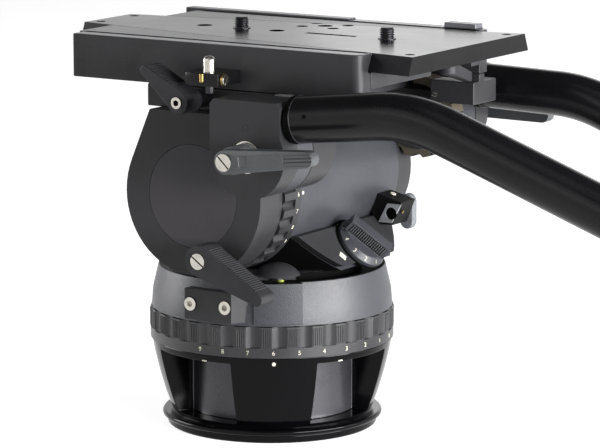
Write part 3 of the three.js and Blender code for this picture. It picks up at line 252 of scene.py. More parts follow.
# Satin anodised rails beside the plate
rail_anodised = surface("rail_anodised", "37373a", "47474c", 0.5, 0.3, 0.15,
                        stretch=(0.12, 1, 1), specular=0.4)
# A painted highlight along the top edge of the side panels: the same black panel drawn lighter
# where it catches the light
panel_edge_highlight = surface("panel_edge_painted_highlight", "5a5a5f", "6d6d73", 0.5, 0.3, 0.1, metal=0.2,
                      stretch=(0.12, 1, 1), specular=0.6)
# Satin alloy of the tilt lock's face plate
satin_alloy = surface("satin_alloy", "a6a8ab", "bfc1c4", 0.4, 0.42, 0.15, metal=0.3)
# Nickel plated steel screws: bright, with fine turning marks
nickel_plate = surface("nickel_plate", "a3a19a", "c0bdb4", 0.3, 0.24, 0.12, metal=1.0,
                       mottle=6.0)
# Blackened steel: camera screws, shafts and the hidden works
black_oxide = surface("black_oxide_steel", "222225", "363639", 0.35, 0.34, 0.2, metal=0.8)
# Brass of bushes, the roller and the dowel
turned_brass = surface("turned_brass", "7f6b3f", "988150", 0.3, 0.3, 0.12, metal=1.0,
                       mottle=6.0)
# Bronze anodised casting
bronze_anodised = surface("bronze_anodised", "5a5347", "746c5d", 0.6, 0.4, 0.3, metal=0.4)
# Vulcanised rubber of the grips: matt, faintly dusty
grip_rubber = surface("grip_rubber", "1e1e1f", "2c2c2f", 0.9, 0.75, 0.5)
# Screen printed cream ink: thin, dull and slightly uneven
printed_cream = surface("printed_cream_ink", "cdc9b6", "e3dfcd", 0.4, 0.6, 0.1, mottle=8.0)
# The bare disc on the cheek: a satin printed foil without any print
label_foil = surface("bare_label_foil", "3b393d", "474548", 0.6, 0.42, 0.15, specular=0.2)
# Spirit in the level's vial: clear yellow-green
level_spirit = surface("level_spirit", "6d7a1c", "8d9a34", 2.0, 0.1, 0.0, coat=0.5, mottle=9.0)
# Painted shade: the dark inside of a bore, slot, socket, flute or hole, a shadow gap, and the
# shaded low faces of the drum
deep_shade_black = surface("deep_shade_black", "030303", "060606", 0.5, 0.7, 0.2, specular=0.04)
# Painted shade in the pan housing's dish, on the side of the cover on the desk and on the sliding
# plate's ends; also the tilt lock block's own near-black
shadow_black = surface("painted_shade_black", "0d0d0e", "161617", 0.6, 0.55, 0.3, specular=0.12)

FINISHES = {
    "foot_plate": gloss_lacquer,
    "base_casting": gloss_lacquer,
    "pan_drag_ring": turned_ring,
    "pan_housing": powder_coat,
    "level_hood": moulded_nylon,
    "level_vial": black_oxide,
    "pan_brake_block": anodised_black,
    "pan_brake_screw_front": nickel_plate,
    "pan_brake_screw_rear": nickel_plate,
    "tilt_housing": powder_coat,
    "counterbalance_cover": moulded_nylon,
    "counterbalance_dial": powder_coat,
    "tilt_drag_ring": turned_ring,
    "tilt_lock_block": shadow_black,
    "tilt_lock_lever": grey_moulding,
    "left_cheek": anodised_black,
    "right_cheek": anodised_black,
    "label_disc": label_foil,
    "right_label_disc": label_foil,
    "left_rosette": powder_coat,
    "right_rosette": powder_coat,
    "fluted_ring": bronze_anodised,
    "crown": anodised_black,
    "platform_slab": anodised_black,
    "left_rail": rail_anodised,
    "right_rail": rail_anodised,
    "left_side_panel": anodised_black,
    "right_side_panel": anodised_black,
    "pin_block": tube_lacquer,
    "safety_pin": nickel_plate,
    "plate_clamp_lever": moulded_nylon,
    "plate_clamp_shaft": black_oxide,
    "tilt_brake_lever": moulded_nylon,
    "latch_block": anodised_black,
    "thumb_lever": moulded_nylon,
    "wedge_plate": plate_anodised,
    "camera_screw_front": black_oxide,
    "camera_screw_rear": black_oxide,
    "left_bar_bracket": anodised_black,
    "left_bar_tube": tube_lacquer,
    "left_bar_grip": grip_rubber,
    "left_bar_lever": grey_anodised,
    "right_bar_bracket": anodised_black,
    "right_bar_tube": tube_lacquer,
    "right_bar_grip": grip_rubber,
    "right_bar_lever": grey_anodised,
}
INNER_FINISH = black_oxide

BODIES = frame["record"]["behaviour"]["bodies"]
BODY_OF = {node: body for body, nodes in BODIES.items() for node in nodes}
finished_copies = {}


# Making pieces

def start_fresh():
    """Leaves edit mode and drops the selection."""
    if bpy.context.object and bpy.context.object.mode != "OBJECT":
        bpy.ops.object.mode_set(mode="OBJECT")
    bpy.ops.object.select_all(action="DESELECT")


def leave_edit():
    bpy.ops.object.mode_set(mode="OBJECT")


def pick(piece):
    """Makes a piece the active one and the only one selected."""
    start_fresh()
    piece.select_set(True)
    bpy.context.view_layer.objects.active = piece


def fix_place(piece):
    """Moves a piece's place, turn and scale into its mesh."""
    pick(piece)
    bpy.ops.object.transform_apply(location=True, rotation=True, scale=True)


def apply_modifier(piece, kind, **settings):
    """Adds a modifier with its settings and applies it."""
    pick(piece)
    modifier = piece.modifiers.new(kind.lower(), kind)
    for key, value in settings.items():
        setattr(modifier, key, value)
    bpy.ops.object.modifier_apply(modifier=modifier.name)


def round_edges(piece, width, segments=2, angle=30):
    """Bevels every edge that turns by more than an angle. The width is in millimetres."""
    apply_modifier(piece, "BEVEL", width=width * MM, segments=segments, limit_method="ANGLE",
                   angle_limit=math.radians(angle), use_clamp_overlap=True,
                   miter_outer="MITER_ARC", harden_normals=False)


def settle(piece, name, body, finish, smooth=30):
    """Fixes a piece's place, names it, gives it its finish and hangs it on its body."""
    fix_place(piece)
    bpy.ops.object.shade_smooth_by_angle(angle=math.radians(smooth))
    apply_modifier(piece, "WEIGHTED_NORMAL", keep_sharp=True, weight=50)
    piece.name = name
    piece.data.name = name
    piece.data.materials.clear()
    piece.data.materials.append(finish)
    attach(piece, body)


def add_part(name, body, piece, place, finish, edge, segments=1):
    """Rounds a small piece's edges, sets it in its place and settles it."""
    round_edges(piece, edge, segments)
    piece.matrix_world = place
    settle(piece, name, body, finish)


def copy_node(node):
    """A merged copy of a solid, with its flat faces made whole."""
    start_fresh()
    source = frame["nodes"][node]
    piece = source.copy()
    piece.data = source.data.copy()
    piece.parent = None
    bpy.context.scene.collection.objects.link(piece)
    piece.matrix_world = source.matrix_world
    fix_place(piece)
    bpy.ops.object.mode_set(mode="EDIT")
    bpy.ops.mesh.select_all(action="SELECT")
    bpy.ops.mesh.remove_doubles(threshold=0.02 * MM)
    bpy.ops.mesh.dissolve_limited(angle_limit=math.radians(0.6))
    leave_edit()
    return piece


def soften(node, width):
    """Replaces a solid by its copy with rounded edges."""
    piece = copy_node(node)
    round_edges(piece, width)
    settle(piece, f"{node}_finished", BODY_OF[node], FINISHES[node])
    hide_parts(node)
    finished_copies[node] = piece


def facing(place, outward, up):
    """A frame at a place, in millimetres, whose Z looks outward and whose Y goes up."""
    z = Vector(outward).normalized()
    x = Vector(up).cross(z).normalized()
    y = z.cross(x)
    turn = Matrix((x, y, z)).transposed().to_4x4()
    return Matrix.Translation(Vector(place) * MM) @ turn


def shifted(x, y, z):
    """An unturned frame at a place in millimetres."""
    return Matrix.Translation(Vector((x, y, z)) * MM)


def on_rim(azimuth, radius, height):
    """A frame on an upright wall round the pan axis, looking away from the axis."""
    turn = math.radians(azimuth)
    out = (math.cos(turn), math.sin(turn), 0)
    return facing((out[0] * radius, out[1] * radius, height), out, UP)


def side_face(side, x, y, z):
    """A frame on a face that looks towards -Y, with side -1, or +Y, with side 1."""
    return facing((x, y, z), (0, side, 0), UP)


def swung(body, place):
    """Turns a place about the rosettes' axis, as the bar or lever that it is on stands at rest."""
    pivot = Vector((ROSETTE_X, 0, ROSETTE_Z)) * MM
    turned = Matrix.Rotation(math.radians(-REST_TURNS[body]), 4, "Y")
    return Matrix.Translation(pivot) @ turned @ Matrix.Translation(-pivot) @ place


def edit_faces(piece, choose):
    """Leaves only the chosen faces selected, in edit mode."""
    pick(piece)
    bpy.ops.object.mode_set(mode="EDIT")
    bpy.ops.mesh.select_mode(type="FACE")
    bpy.ops.mesh.select_all(action="DESELECT")
    leave_edit()
    for face in piece.data.polygons:
        face.select = choose(face)
    bpy.ops.object.mode_set(mode="EDIT")


def disc(radius, depth, sides=32):
    """A cylinder standing on the origin, with +Z outwards."""
    start_fresh()
    bpy.ops.mesh.primitive_cylinder_add(vertices=sides, radius=radius * MM, depth=depth * MM,
                                        location=(0, 0, depth * MM / 2))
    piece = bpy.context.object
    bpy.ops.object.transform_apply(location=True)
    return piece


def slab(length, width, depth):
    """A box standing on the origin, with +Z outwards."""
    start_fresh()
    bpy.ops.mesh.primitive_cube_add(size=1, location=(0, 0, depth * MM / 2),
                                    scale=(length * MM, width * MM, depth * MM))
    piece = bpy.context.object
    bpy.ops.object.transform_apply(location=True, scale=True)
    return piece


def cut_out(piece, cutters):
    """Cuts pockets into a piece and drops the cutters."""
    tool = join_all(cutters)
    apply_modifier(piece, "BOOLEAN", operation="DIFFERENCE", object=tool, solver="EXACT")
    bpy.data.objects.remove(tool)


def slotted_screw(name, body, radius, height, slot, place, turn):
    """A nickel plated screw head with a slot right across it, turned by some degrees."""
    floor = height * 0.6
    piece = disc(radius, floor)
    pick(piece)
    bpy.ops.object.mode_set(mode="EDIT")
    for side in (-1, 1):
        bpy.ops.mesh.select_all(action="SELECT")
        bpy.ops.mesh.bisect(plane_co=(0, side * slot * MM / 2, 0), plane_no=(0, 1, 0))
    leave_edit()
    edit_faces(piece, lambda face: face.normal.z > 0.9 and abs(face.center.y) > slot * MM / 2)
    raised = (0, 0, (height - floor) * MM)
    bpy.ops.mesh.extrude_region_move(TRANSFORM_OT_translate={"value": raised})
    leave_edit()
    round_edges(piece, 0.4, 2, HEAD_ANGLE)
    spot = place @ Matrix.Rotation(math.radians(turn), 4, "Z")
    piece.matrix_world = spot
    # A dark slab in the slot: painted shade
    shade = slab(radius * 1.9, slot * 0.96, floor * 1.1)
    add_part(f"{name}_slot", body, shade, spot, deep_shade_black, 0.05)
    settle(piece, name, body, nickel_plate)


def socket_screw(name, body, radius, height, socket, place):
    """A nickel plated screw head with a hexagon socket."""
    piece = disc(radius, height)
    round_edges(piece, height * 0.15, 2, HEAD_ANGLE)
    cutter = disc(socket, height, 6)
    cutter.location.z = height * 0.4 * MM
    cut_out(piece, [cutter])
    piece.matrix_world = place
    settle(piece, name, body, nickel_plate)


def washer(name, body, inner, outer, height, place, finish):
    """A flat ring: a disc whose top is inset and sunk to a thin floor."""
    piece = disc(outer, height, 40)
    edit_faces(piece, lambda face: face.normal.z > 0.9 and face.center.z > (height - 0.05) * MM)
    bpy.ops.mesh.inset(thickness=(outer - inner) * MM)
    sunk = (0, 0, -height * 0.7 * MM)
    bpy.ops.mesh.extrude_region_move(TRANSFORM_OT_translate={"value": sunk})
    leave_edit()
    round_edges(piece, 0.2, 2, HEAD_ANGLE)
    piece.matrix_world = place
    settle(piece, name, body, finish)


def join_all(pieces):
    """Joins pieces into the first of them."""
    start_fresh()
    for piece in pieces:
        piece.select_set(True)
    bpy.context.view_layer.objects.active = pieces[0]
    if len(pieces) > 1:
        bpy.ops.object.join()
    return pieces[0]


def figure(text, size, place):
    """A printed figure as a thin mesh, centred on its place."""
    start_fresh()
    bpy.ops.object.text_add()
    piece = bpy.context.object
    piece.data.body = text
    piece.data.size = size * MM
    piece.data.align_x = "CENTER"
    piece.data.align_y = "CENTER"
    piece.data.extrude = INK_DEPTH * MM
    piece.data.resolution_u = 3
    bpy.ops.object.convert(target="MESH")
    piece = bpy.context.object
    piece.matrix_world = place
    fix_place(piece)
    return piece


def poly_line(points):
    """A curve of straight stretches through points in millimetres."""
    curve = bpy.data.curves.new("line", "CURVE")
    curve.dimensions = "3D"
    line = curve.splines.new("POLY")
    line.points.add(len(points) - 1)
    for point, place in zip(line.points, points):
        point.co = (*[value * MM for value in place], 1)
    return curve


def edit_curve(curve):
    """A curve as a mesh, in edit mode with everything selected."""
    start_fresh()
    piece = bpy.data.objects.new("line", curve)
    bpy.context.scene.collection.objects.link(piece)
    pick(piece)
    bpy.ops.object.convert(target="MESH")
    bpy.ops.object.mode_set(mode="EDIT")
    bpy.ops.mesh.select_all(action="SELECT")
    return bpy.context.object


def close_mesh():
    """Merges the doubled points, turns all faces outwards and leaves edit mode."""
    bpy.ops.mesh.remove_doubles(threshold=0.01 * MM)
    bpy.ops.mesh.normals_make_consistent(inside=False)
    leave_edit()


def rod(points, radius, sides):
    """A round bar along points, with closed ends."""
    curve = poly_line(points)
    curve.bevel_depth = radius * MM
    curve.bevel_resolution = sides // 4 - 2
    curve.use_fill_caps = True
    piece = edit_curve(curve)
    close_mesh()
    return piece


def lathe(profile, sides=32):
    """A round piece about Z from a profile of radii and heights whose ends lie on the axis."""
    piece = edit_curve(poly_line([(radius, 0, height) for radius, height in profile]))
    bpy.ops.mesh.spin(steps=sides, angle=math.tau, center=(0, 0, 0), axis=(0, 0, 1))
    bpy.ops.mesh.select_all(action="SELECT")
    close_mesh()
    return piece


# Rounded copies of the solids, with the width of each one's edges in millimetres

EDGE_WIDTHS = {
    "foot_plate": 0.5, "base_casting": 0.9, "pan_drag_ring": 0.35, "pan_housing": 0.9,
    "level_hood": 0.6, "pan_brake_block": 0.6, "tilt_housing": 1.2, "counterbalance_cover": 0.6,
    "tilt_drag_ring": 0.35, "tilt_lock_block": 0.7, "tilt_lock_lever": 1.2,
    "left_cheek": 0.9, "right_cheek": 0.9, "left_rosette": 0.6, "right_rosette": 0.6,
    "fluted_ring": 0.6, "crown": 0.8, "platform_slab": 0.6, "left_rail": 0.5, "right_rail": 0.5,
    "left_side_panel": 0.9, "right_side_panel": 0.9, "pin_block": 1.6, "plate_clamp_lever": 1.4,
    "tilt_brake_lever": 1.2, "latch_block": 0.8, "thumb_lever": 1.2, "wedge_plate": 0.6,
    "left_bar_bracket": 1.0, "right_bar_bracket": 1.0, "left_bar_lever": 0.8,
    "right_bar_lever": 0.8, "counterbalance_dial": 0.6,
}
for node, width in EDGE_WIDTHS.items():
    soften(node, width)


# Second finishes, mostly painted shade and painted highlights: each function picks the faces that
# have one

def in_window(face):
    """The upright walls behind the base's windows, which get the painted highlight."""
    across = math.hypot(face.center.x, face.center.y)
    upright = abs(face.normal.z) < 0.2
    inside = WINDOW_FOOT_Z * MM < face.center.z < WINDOW_HEAD_Z * MM
    return upright and inside and across < WINDOW_RADIUS * MM


def in_flute(face):
    """The flutes of the ring on the left cheek, painted dark as shade."""
    across = math.hypot(face.center.x - ROSETTE_X * MM, face.center.z - ROSETTE_Z * MM)
    return across < FLUTE_RADIUS * MM and abs(face.normal.y) < 0.7


def in_dish(face):
    """The sunk top of the pan housing, painted dark as shade."""
    across = math.hypot(face.center.x, face.center.y)
    return across < DISH_RADIUS * MM and face.center.z > DISH_FLOOR_Z * MM


def under_desk(face):
    """Low on the drum: its round foot, and each face that doesn't look the desk's way. These are
    painted dark as shade.
    """
    low = face.center.z < SHADE_TOP_Z * MM
    across = math.hypot(face.center.x, face.center.y)
    foot = abs(face.normal.z) < 0.2 and across < FOOT_RADIUS * MM
    return low and (foot or face.normal.dot(DESK_OUT) < 0.25)


def cover_side(face):
    """The walls of the cover on the desk, painted dark as shade."""
    return face.normal.dot(DESK_OUT) < 0.3


def in_hole(face):
    """The walls and bottoms of the slots and pockets in the sliding plate, painted dark as shade.
    """
    inside = abs(face.center.y) < 38.0 * MM and -125.0 * MM < face.center.x < 130.0 * MM
    wall = abs(face.normal.z) < 0.3
    bottom = face.normal.z > 0.5 and face.center.z < (PLATE_TOP_Z - 1.0) * MM
    return inside and (wall or bottom)


def plate_end(face):
    """The two end faces of the sliding plate, painted dark as shade."""
    return abs(face.normal.x) > 0.7 and face.area > 200.0 * MM * MM


def panel_top(face):
    """The top edge of a side panel, with its raised part, which gets the painted highlight."""
    flat = face.normal.z > 0.9 and face.center.z > (PANEL_TOP_Z - 0.7) * MM
    return flat or face.center.z > (PANEL_TOP_Z + 0.5) * MM


for node, finish, choose in (
        ("base_casting", painted_highlight_satin, in_window),
        ("fluted_ring", deep_shade_black, in_flute),
        ("left_side_panel", panel_edge_highlight, panel_top),
        ("right_side_panel", panel_edge_highlight, panel_top),
        ("pan_housing", shadow_black, in_dish),
        ("tilt_housing", deep_shade_black, under_desk),
        ("counterbalance_cover", shadow_black, cover_side),
        ("wedge_plate", deep_shade_black, in_hole),
        ("wedge_plate", shadow_black, plate_end),
):
    mesh = finished_copies[node].data
    mesh.materials.append(finish)
    for face in mesh.polygons:
        if choose(face):
            face.material_index = len(mesh.materials) - 1

for node, item in frame["nodes"].items():
    item.data.materials.clear()
    item.data.materials.append(FINISHES.get(node, INNER_FINISH))


# Numbers and index marks

ring_figures = []
for number in range(10):
    azimuth = PAN_FIGURE_TURN + FIGURE_STEP * (INDEXED_FIGURE - number)
    ring_figures.append(figure(str(number), 4.2, on_rim(azimuth, RING_RADIUS, RING_BAND_Z)))
settle(join_all(ring_figures), "pan_ring_figures", "pan_ring", printed_cream)

tilt_figures = []
for number in range(10):
    turn = math.radians(FIGURE_STEP * (INDEXED_FIGURE - number))
    out = (math.cos(turn), 0, math.sin(turn))
    spot = (out[0] * TILT_RING_RADIUS, TILT_BAND_Y, TILT_Z + out[2] * TILT_RING_RADIUS)
    tilt_figures.append(figure(str(number), 4.0, facing(spot, out, (-out[2], 0, out[0]))))
settle(join_all(tilt_figures), "tilt_ring_figures", "tilt_ring", printed_cream)

mark_radius = BASE_RIM_RADIUS - MARK_SINK
add_part("pan_index_dot", "base", disc(1.3, 0.5, 20),
         on_rim(PAN_INDEX_TURN, mark_radius, 55.0), printed_cream, 0.15)
for name, azimuth in (("front", -23.5), ("side", -91.0)):
    add_part(f"window_{name}_tick", "base", slab(3.4, 0.9, 0.5),
             on_rim(azimuth, mark_radius, 54.6), printed_cream, 0.15)
add_part("tilt_index_dot", "pan", disc(1.2, 0.5, 20),
         facing((DRUM_RADIUS - MARK_SINK, -44.0, TILT_Z), (1, 0, 0), UP), printed_cream, 0.15)

# The dial's figures stand on its conical rim, which leans as 0.6 to 0.8
desk_down = Vector((DESK_OUT.z, 0, -DESK_OUT.x))
dial_middle = Vector(DIAL_CENTRE)
dial_figures = []
for number in range(1, 6):
    turn = math.radians(DIAL_FIGURE_START + DIAL_FIGURE_STEP * (number - 1))
    radial = desk_down * math.cos(turn) + Vector((0, 1, 0)) * math.sin(turn)
    spot = dial_middle + radial * DIAL_FIGURE_RADIUS + DESK_OUT * DIAL_FIGURE_LIFT
    out = radial * 0.6 + DESK_OUT * 0.8
    up = DESK_OUT * 0.6 - radial * 0.8
    dial_figures.append(figure(str(number), 4.0, facing(spot, out, up)))
settle(join_all(dial_figures), "dial_figures", "dial", printed_cream)


# Screws, washers and bushes on the levers

slotted_screw("tilt_brake_screw", "tilt_brake", 5.3, 1.6, 0.9,
              side_face(-1, BRAKE_HUB[0], BRAKE_FACE_Y, BRAKE_HUB[1]), -35)
socket_screw("plate_clamp_screw", "plate_clamp", 3.8, 1.6, 2.1,
             side_face(-1, CLAMP_HUB[0], CLAMP_FACE_Y, CLAMP_HUB[1]))
# A dark disc in the hexagon socket: painted shade
add_part("plate_clamp_socket_shade", "plate_clamp", disc(2.05, 0.3, 6),
         side_face(-1, CLAMP_HUB[0], CLAMP_FACE_Y - 0.6, CLAMP_HUB[1]), deep_shade_black, 0.08)
for side, name in SIDES:
    body = f"{name}_clamp"
    face = side_face(side, ROSETTE_X, side * LEVER_FACE_Y, ROSETTE_Z)
    slotted_screw(f"{body}_screw", body, 5.6, 1.4, 0.9, swung(body, face), -50)

# Bar levers: four grooves at the tip, a shallow pocket beside the hub and a washer under it
for side, name in SIDES:
    body = f"{name}_clamp"
    pockets = []
    for row in (-3.3, -1.1, 1.1, 3.3):
        groove = slab(21.0, 0.95, 1.6)
        round_edges(groove, 0.3, 1)
        groove.matrix_world = swung(body, side_face(
            side, ROSETTE_X + 53.0, side * (LEVER_FACE_Y - 0.8), ROSETTE_Z + row))
        pockets.append(groove)
    square = slab(6.6, 7.2, 1.2)
    round_edges(square, 0.5)
    square.matrix_world = swung(body, side_face(
        side, ROSETTE_X + 13.6, side * (LEVER_FACE_Y - 0.5), ROSETTE_Z))
    pockets.append(square)
    lever = finished_copies[f"{name}_bar_lever"]
    cut_out(lever, pockets)
    pick(lever)
    bpy.ops.object.shade_smooth_by_angle(angle=math.radians(30))
    washer(f"{body}_washer", body, 8.9, 10.25, 1.7,
           swung(body, side_face(side, ROSETTE_X, side * WASHER_Y, ROSETTE_Z)), nickel_plate)


# Levers with a ribbed edge for the thumb

def edge_line(hub, hub_radius, tip, tip_radius):
    """The upper straight edge over two round ends, in the X-Z plane, and its outward normal."""
    start, end = Vector(hub), Vector(tip)
    along = end - start
    length = along.length
    along.normalize()
    across = Vector((-along.y, along.x))
    if across.y < 0:
        across = -across
    lean = (hub_radius - tip_radius) / length
    normal = across * math.sqrt(1 - lean * lean) + along * lean
    return start + normal * hub_radius, end + normal * tip_radius, normal


def ribbed_edge(body, line, near_y, count, first, last):
    """Ribs across the straight edge of a lever, as shares of its length from first to last."""
    start, end, normal = line
    along = (end - start).normalized()
    thickness = LEVER_BACK_Y - near_y
    ribs = []
    for index in range(count):
        spot = start.lerp(end, first + (last - first) * index / (count - 1)) - normal * 0.3
        rib = slab(thickness - 1.6, (end - start).length * (last - first) / count * 0.55, 0.95)
        round_edges(rib, 0.25, 1)
        rib.matrix_world = facing((spot.x, (near_y + LEVER_BACK_Y) / 2, spot.y),
                                  (normal.x, 0, normal.y), (along.x, 0, along.y))
        ribs.append(rib)
    settle(join_all(ribs), f"{body}_ribs", body, moulded_nylon)


ribbed_edge("tilt_brake", edge_line(BRAKE_HUB, 10, (60, 106.3), 4), BRAKE_FACE_Y, 24, 0.04, 0.9)
ribbed_edge("plate_clamp", edge_line(CLAMP_HUB, 7.6, (-24, 246.9), 3.2), CLAMP_FACE_Y,
            13, 0.3, 0.96)


# Ribs on the lands of the pan ring, five on each

land_ribs = []
for land in range(360 // FIGURE_STEP):
    for rib_index in range(5):
        rib = slab(0.75, 11.6, 0.75)
        rib.matrix_world = on_rim(FIGURE_STEP * land + (rib_index - 2) * LAND_RIB_STEP,
                                  LAND_RADIUS, LAND_MIDDLE_Z)
        fix_place(rib)
        land_ribs.append(rib)
ring_ribs = join_all(land_ribs)
round_edges(ring_ribs, 0.18, 1, 60)
settle(ring_ribs, "pan_ring_ribs", "pan_ring", turned_ring)


# Dial: ribs down both flanks of its grip bar, over dark strips of painted shade

grip_turn = Matrix.Rotation(math.radians(DIAL_GRIP_TURN), 4, "Z")
dial_frame = (Matrix.Translation(dial_middle * MM)
              @ Matrix.Rotation(math.radians(90 - DESK_RISE), 4, "Y"))


def on_flank(side, along, across):
    """A frame on a flank of the dial's grip bar."""
    return (dial_frame @ grip_turn @ shifted(along, side * across, FLANK_LIFT)
            @ Matrix.Rotation(math.radians(-side * FLANK_LEAN), 4, "X"))


dial_ribs = []
flanks = []
for side in (-1, 1):
    for index in range(17):
        rib = slab(0.85, 5.6, 0.9)
        round_edges(rib, 0.2, 1)
        rib.matrix_world = on_flank(side, -13.2 + 1.65 * index, 4.62)
        dial_ribs.append(rib)
settle(join_all(dial_ribs), "dial_grip_ribs", "dial", grey_anodised)
# Dark strips under the ribs: painted shade
for side in (-1, 1):
    flank = slab(28.2, 6.2, 0.4)
    round_edges(flank, 0.1, 1)
    flank.matrix_world = on_flank(side, 0, 4.7)
    flanks.append(flank)
settle(join_all(flanks), "dial_grip_flank_shade", "dial", deep_shade_black)


def on_desk(along, across):
    """A frame on the desk, with the marks' turn, along and across from the dial's middle."""
    turned = Matrix.Rotation(math.radians(DESK_MARK_TURN), 4, "Z")
    return dial_frame @ shifted(along, across, 0) @ turned


add_part("desk_index_tick", "pan", slab(1.3, 3.6, 0.35), on_desk(-17.0, -9.6), printed_cream, 0.1)
# A dark ring round the dial: painted shade of its gap to the cover
washer("dial_gap_shade", "pan", 18.8, 20.5, 0.35, dial_frame, deep_shade_black)
add_part("desk_plain_mark", "pan", slab(5.4, 4.6, 0.3), on_desk(4.3, -25.7), printed_cream, 0.1)


# Tilt lock: a bright face plate with a bore on the block, a small button and a brass dowel

plate = slab(19.0, 13.2, 0.8)
pick(plate)
bpy.ops.object.mode_set(mode="EDIT")
for end in (-1, 1):
    bpy.ops.mesh.select_all(action="SELECT")
    bpy.ops.mesh.bisect(plane_co=(end * 5.4 * MM, 0, 0), plane_no=(end * 0.885, end * -0.47, 0),
                        clear_outer=True, use_fill=True)
leave_edit()
round_edges(plate, 0.25, 1)
round_hole = disc(4.2, 3.0, 28)
round_hole.location.x += LOCK_BORE_SHIFT * MM
cut_out(plate, [round_hole])
plate.matrix_world = side_face(-1, LOCK_X, LOCK_FACE_Y, LOCK_Z)
settle(plate, "tilt_lock_face", "pan", satin_alloy)
# A dark disc behind the face plate's bore: painted shade
add_part("tilt_lock_bore_shade", "pan", disc(4.3, 0.3, 28),
         side_face(-1, LOCK_X + LOCK_BORE_SHIFT, LOCK_FACE_Y - 0.05, LOCK_Z), deep_shade_black, 0.1)
add_part("tilt_lock_button", "pan", disc(2.0, 0.8, 24),
         facing((57.5, 60.5, 149.7), (0.35, 0, 0.94), (0, 1, 0)), printed_cream, 0.25, 2)
add_part("tilt_lock_dowel", "pan", disc(1.2, 1.4, 20),
         facing((66.4, 56.5, 139.5), (0.92, 0, -0.4), UP), turned_brass, 0.3, 2)


# Level, painted shade in gaps, and small screws and marks

low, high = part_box("level_vial")
bubble = disc(2.3, 1.4, 24)
round_edges(bubble, 0.2)
bubble.location = Vector(((low[0] + high[0]) / 2 + 3.4 * MM, (low[1] + high[1]) / 2 - 2.6 * MM,
                          low[2] + 0.1 * MM))
settle(bubble, "level_bubble", "pan", level_spirit)
# A dark ring between the drum and the far cheek: painted shade of the gap
washer("drum_gap_shade", "pan", 45.0, 51.8, 1.0, side_face(1, 0, 76.5, TILT_Z), deep_shade_black)
# A dark strip along each gap between rail and side panel: painted shade
for side, name in SIDES:
    add_part(f"{name}_rail_gap_shade", "tilt", slab(GROOVE_END - GROOVE_START, 4.0, 0.12),
             shifted((GROOVE_START + GROOVE_END) / 2, side * GROOVE_Y, PANEL_TOP_Z),
             deep_shade_black, 0.04)
pin_screw_face = facing((30.2, -104.3, 243.6), (1, 0, 0), UP)
slotted_screw("pin_block_screw", "tilt", 3.3, 2.6, 0.8, pin_screw_face, 60)
washer("pin_block_collar", "tilt", 3.4, 4.0, 1.4, pin_screw_face, turned_brass)
notch = slab(4.4, 4.2, 5.6)
notch.matrix_world = shifted(17.4, -109.0, 241.6)
cut_out(finished_copies["pin_block"], [notch])
add_part("pin_block_roller", "tilt", disc(1.9, 5.4, 24), shifted(17.4, -108.8, 241.7),
         turned_brass, 0.3, 2)
washer("plate_clamp_bush", "plate_clamp", 4.2, 4.9, 0.8,
       side_face(-1, CLAMP_HUB[0], -85.0, CLAMP_HUB[1]), turned_brass)
washer("bracket_mark", "left_bar", 1.9, 2.4, 0.25,
       side_face(-1, 62.8, BRACKET_FACE_Y, 218.5), black_oxide)
slotted_screw("latch_screw", "tilt", 1.9, 0.7, 0.5, side_face(-1, 88.4, 61.6, 219.4), 20)


# Safety pin: a domed nickel pin over a black stem

pin = lathe([(0, 239.4), (4, 239.4), (4, 254.6), (3.7, 256.2), (2.9, 257.3), (1.5, 257.8),
             (0, 257.9)])
stem = lathe([(0, 234.3), (3.2, 234.3), (3.2, 239.5), (0, 239.5)])
for piece, name, finish in ((pin, "safety_pin_finished", nickel_plate),
                            (stem, "safety_pin_stem", black_oxide)):
    piece.matrix_world = shifted(*PIN_AXIS, 0)
    settle(piece, name, "pin", finish, LATHE_ANGLE)
    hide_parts("safety_pin")


# Camera screws: a thread above the plate and a head under it

for body, node in (("screw_front", "camera_screw_front"), ("screw_rear", "camera_screw_rear")):
    low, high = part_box(node)
    base_z, top_z = low[2] / MM, high[2] / MM
    profile = [(0, base_z), (8.0, base_z), (8.0, base_z + 3.5), (THREAD_ROOT, base_z + 3.5)]
    profile += [(5.9, PLATE_TOP_Z - 1.0), (5.9, PLATE_TOP_Z + 0.5),
                (THREAD_ROOT, PLATE_TOP_Z + 0.5)]
    height = PLATE_TOP_Z + 0.7
    while height < top_z - 1.4:
        profile += [(THREAD_ROOT, height), (THREAD_CREST, height + 0.55),
                    (THREAD_CREST, height + 0.75), (THREAD_ROOT, height + 1.3)]
        height += THREAD_PITCH
    profile += [(4.2, top_z - 0.5), (3.7, top_z), (0, top_z)]
    screw = lathe(profile, 28)
    screw.location = Vector(((low[0] + high[0]) / 2, (low[1] + high[1]) / 2, 0))
    settle(screw, f"{node}_finished", body, black_oxide, LATHE_ANGLE)
    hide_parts(node)


# Pan bars: the smooth lacquered tube, its collar painted dark as shade with a painted highlight on
# its edge, and its ribbed rubber grip

def bar_path():
    """The tube's middle line as X and Z of its points, and the point where its bend ends."""
    slope, fall = math.radians(BAR_RISE), math.radians(BAR_FALL)
    bend_start = (BAR_START_X + BAR_BEFORE_BEND * math.cos(slope),
                  BAR_START_Z + BAR_BEFORE_BEND * math.sin(slope))
    centre = (bend_start[0] + BEND_RADIUS * math.sin(slope),
              bend_start[1] - BEND_RADIUS * math.cos(slope))
    points = [(BAR_START_X, BAR_START_Z)]
    for step in range(BEND_STEPS + 1):
        angle = math.radians(90 + BAR_RISE - (BAR_RISE + BAR_FALL) * step / BEND_STEPS)
        points.append((centre[0] + BEND_RADIUS * math.cos(angle),
                       centre[1] + BEND_RADIUS * math.sin(angle)))
    last = points[-1]
    points.append((last[0] + BAR_AFTER_BEND * math.cos(fall),
                   last[1] - BAR_AFTER_BEND * math.sin(fall)))
    return points, last


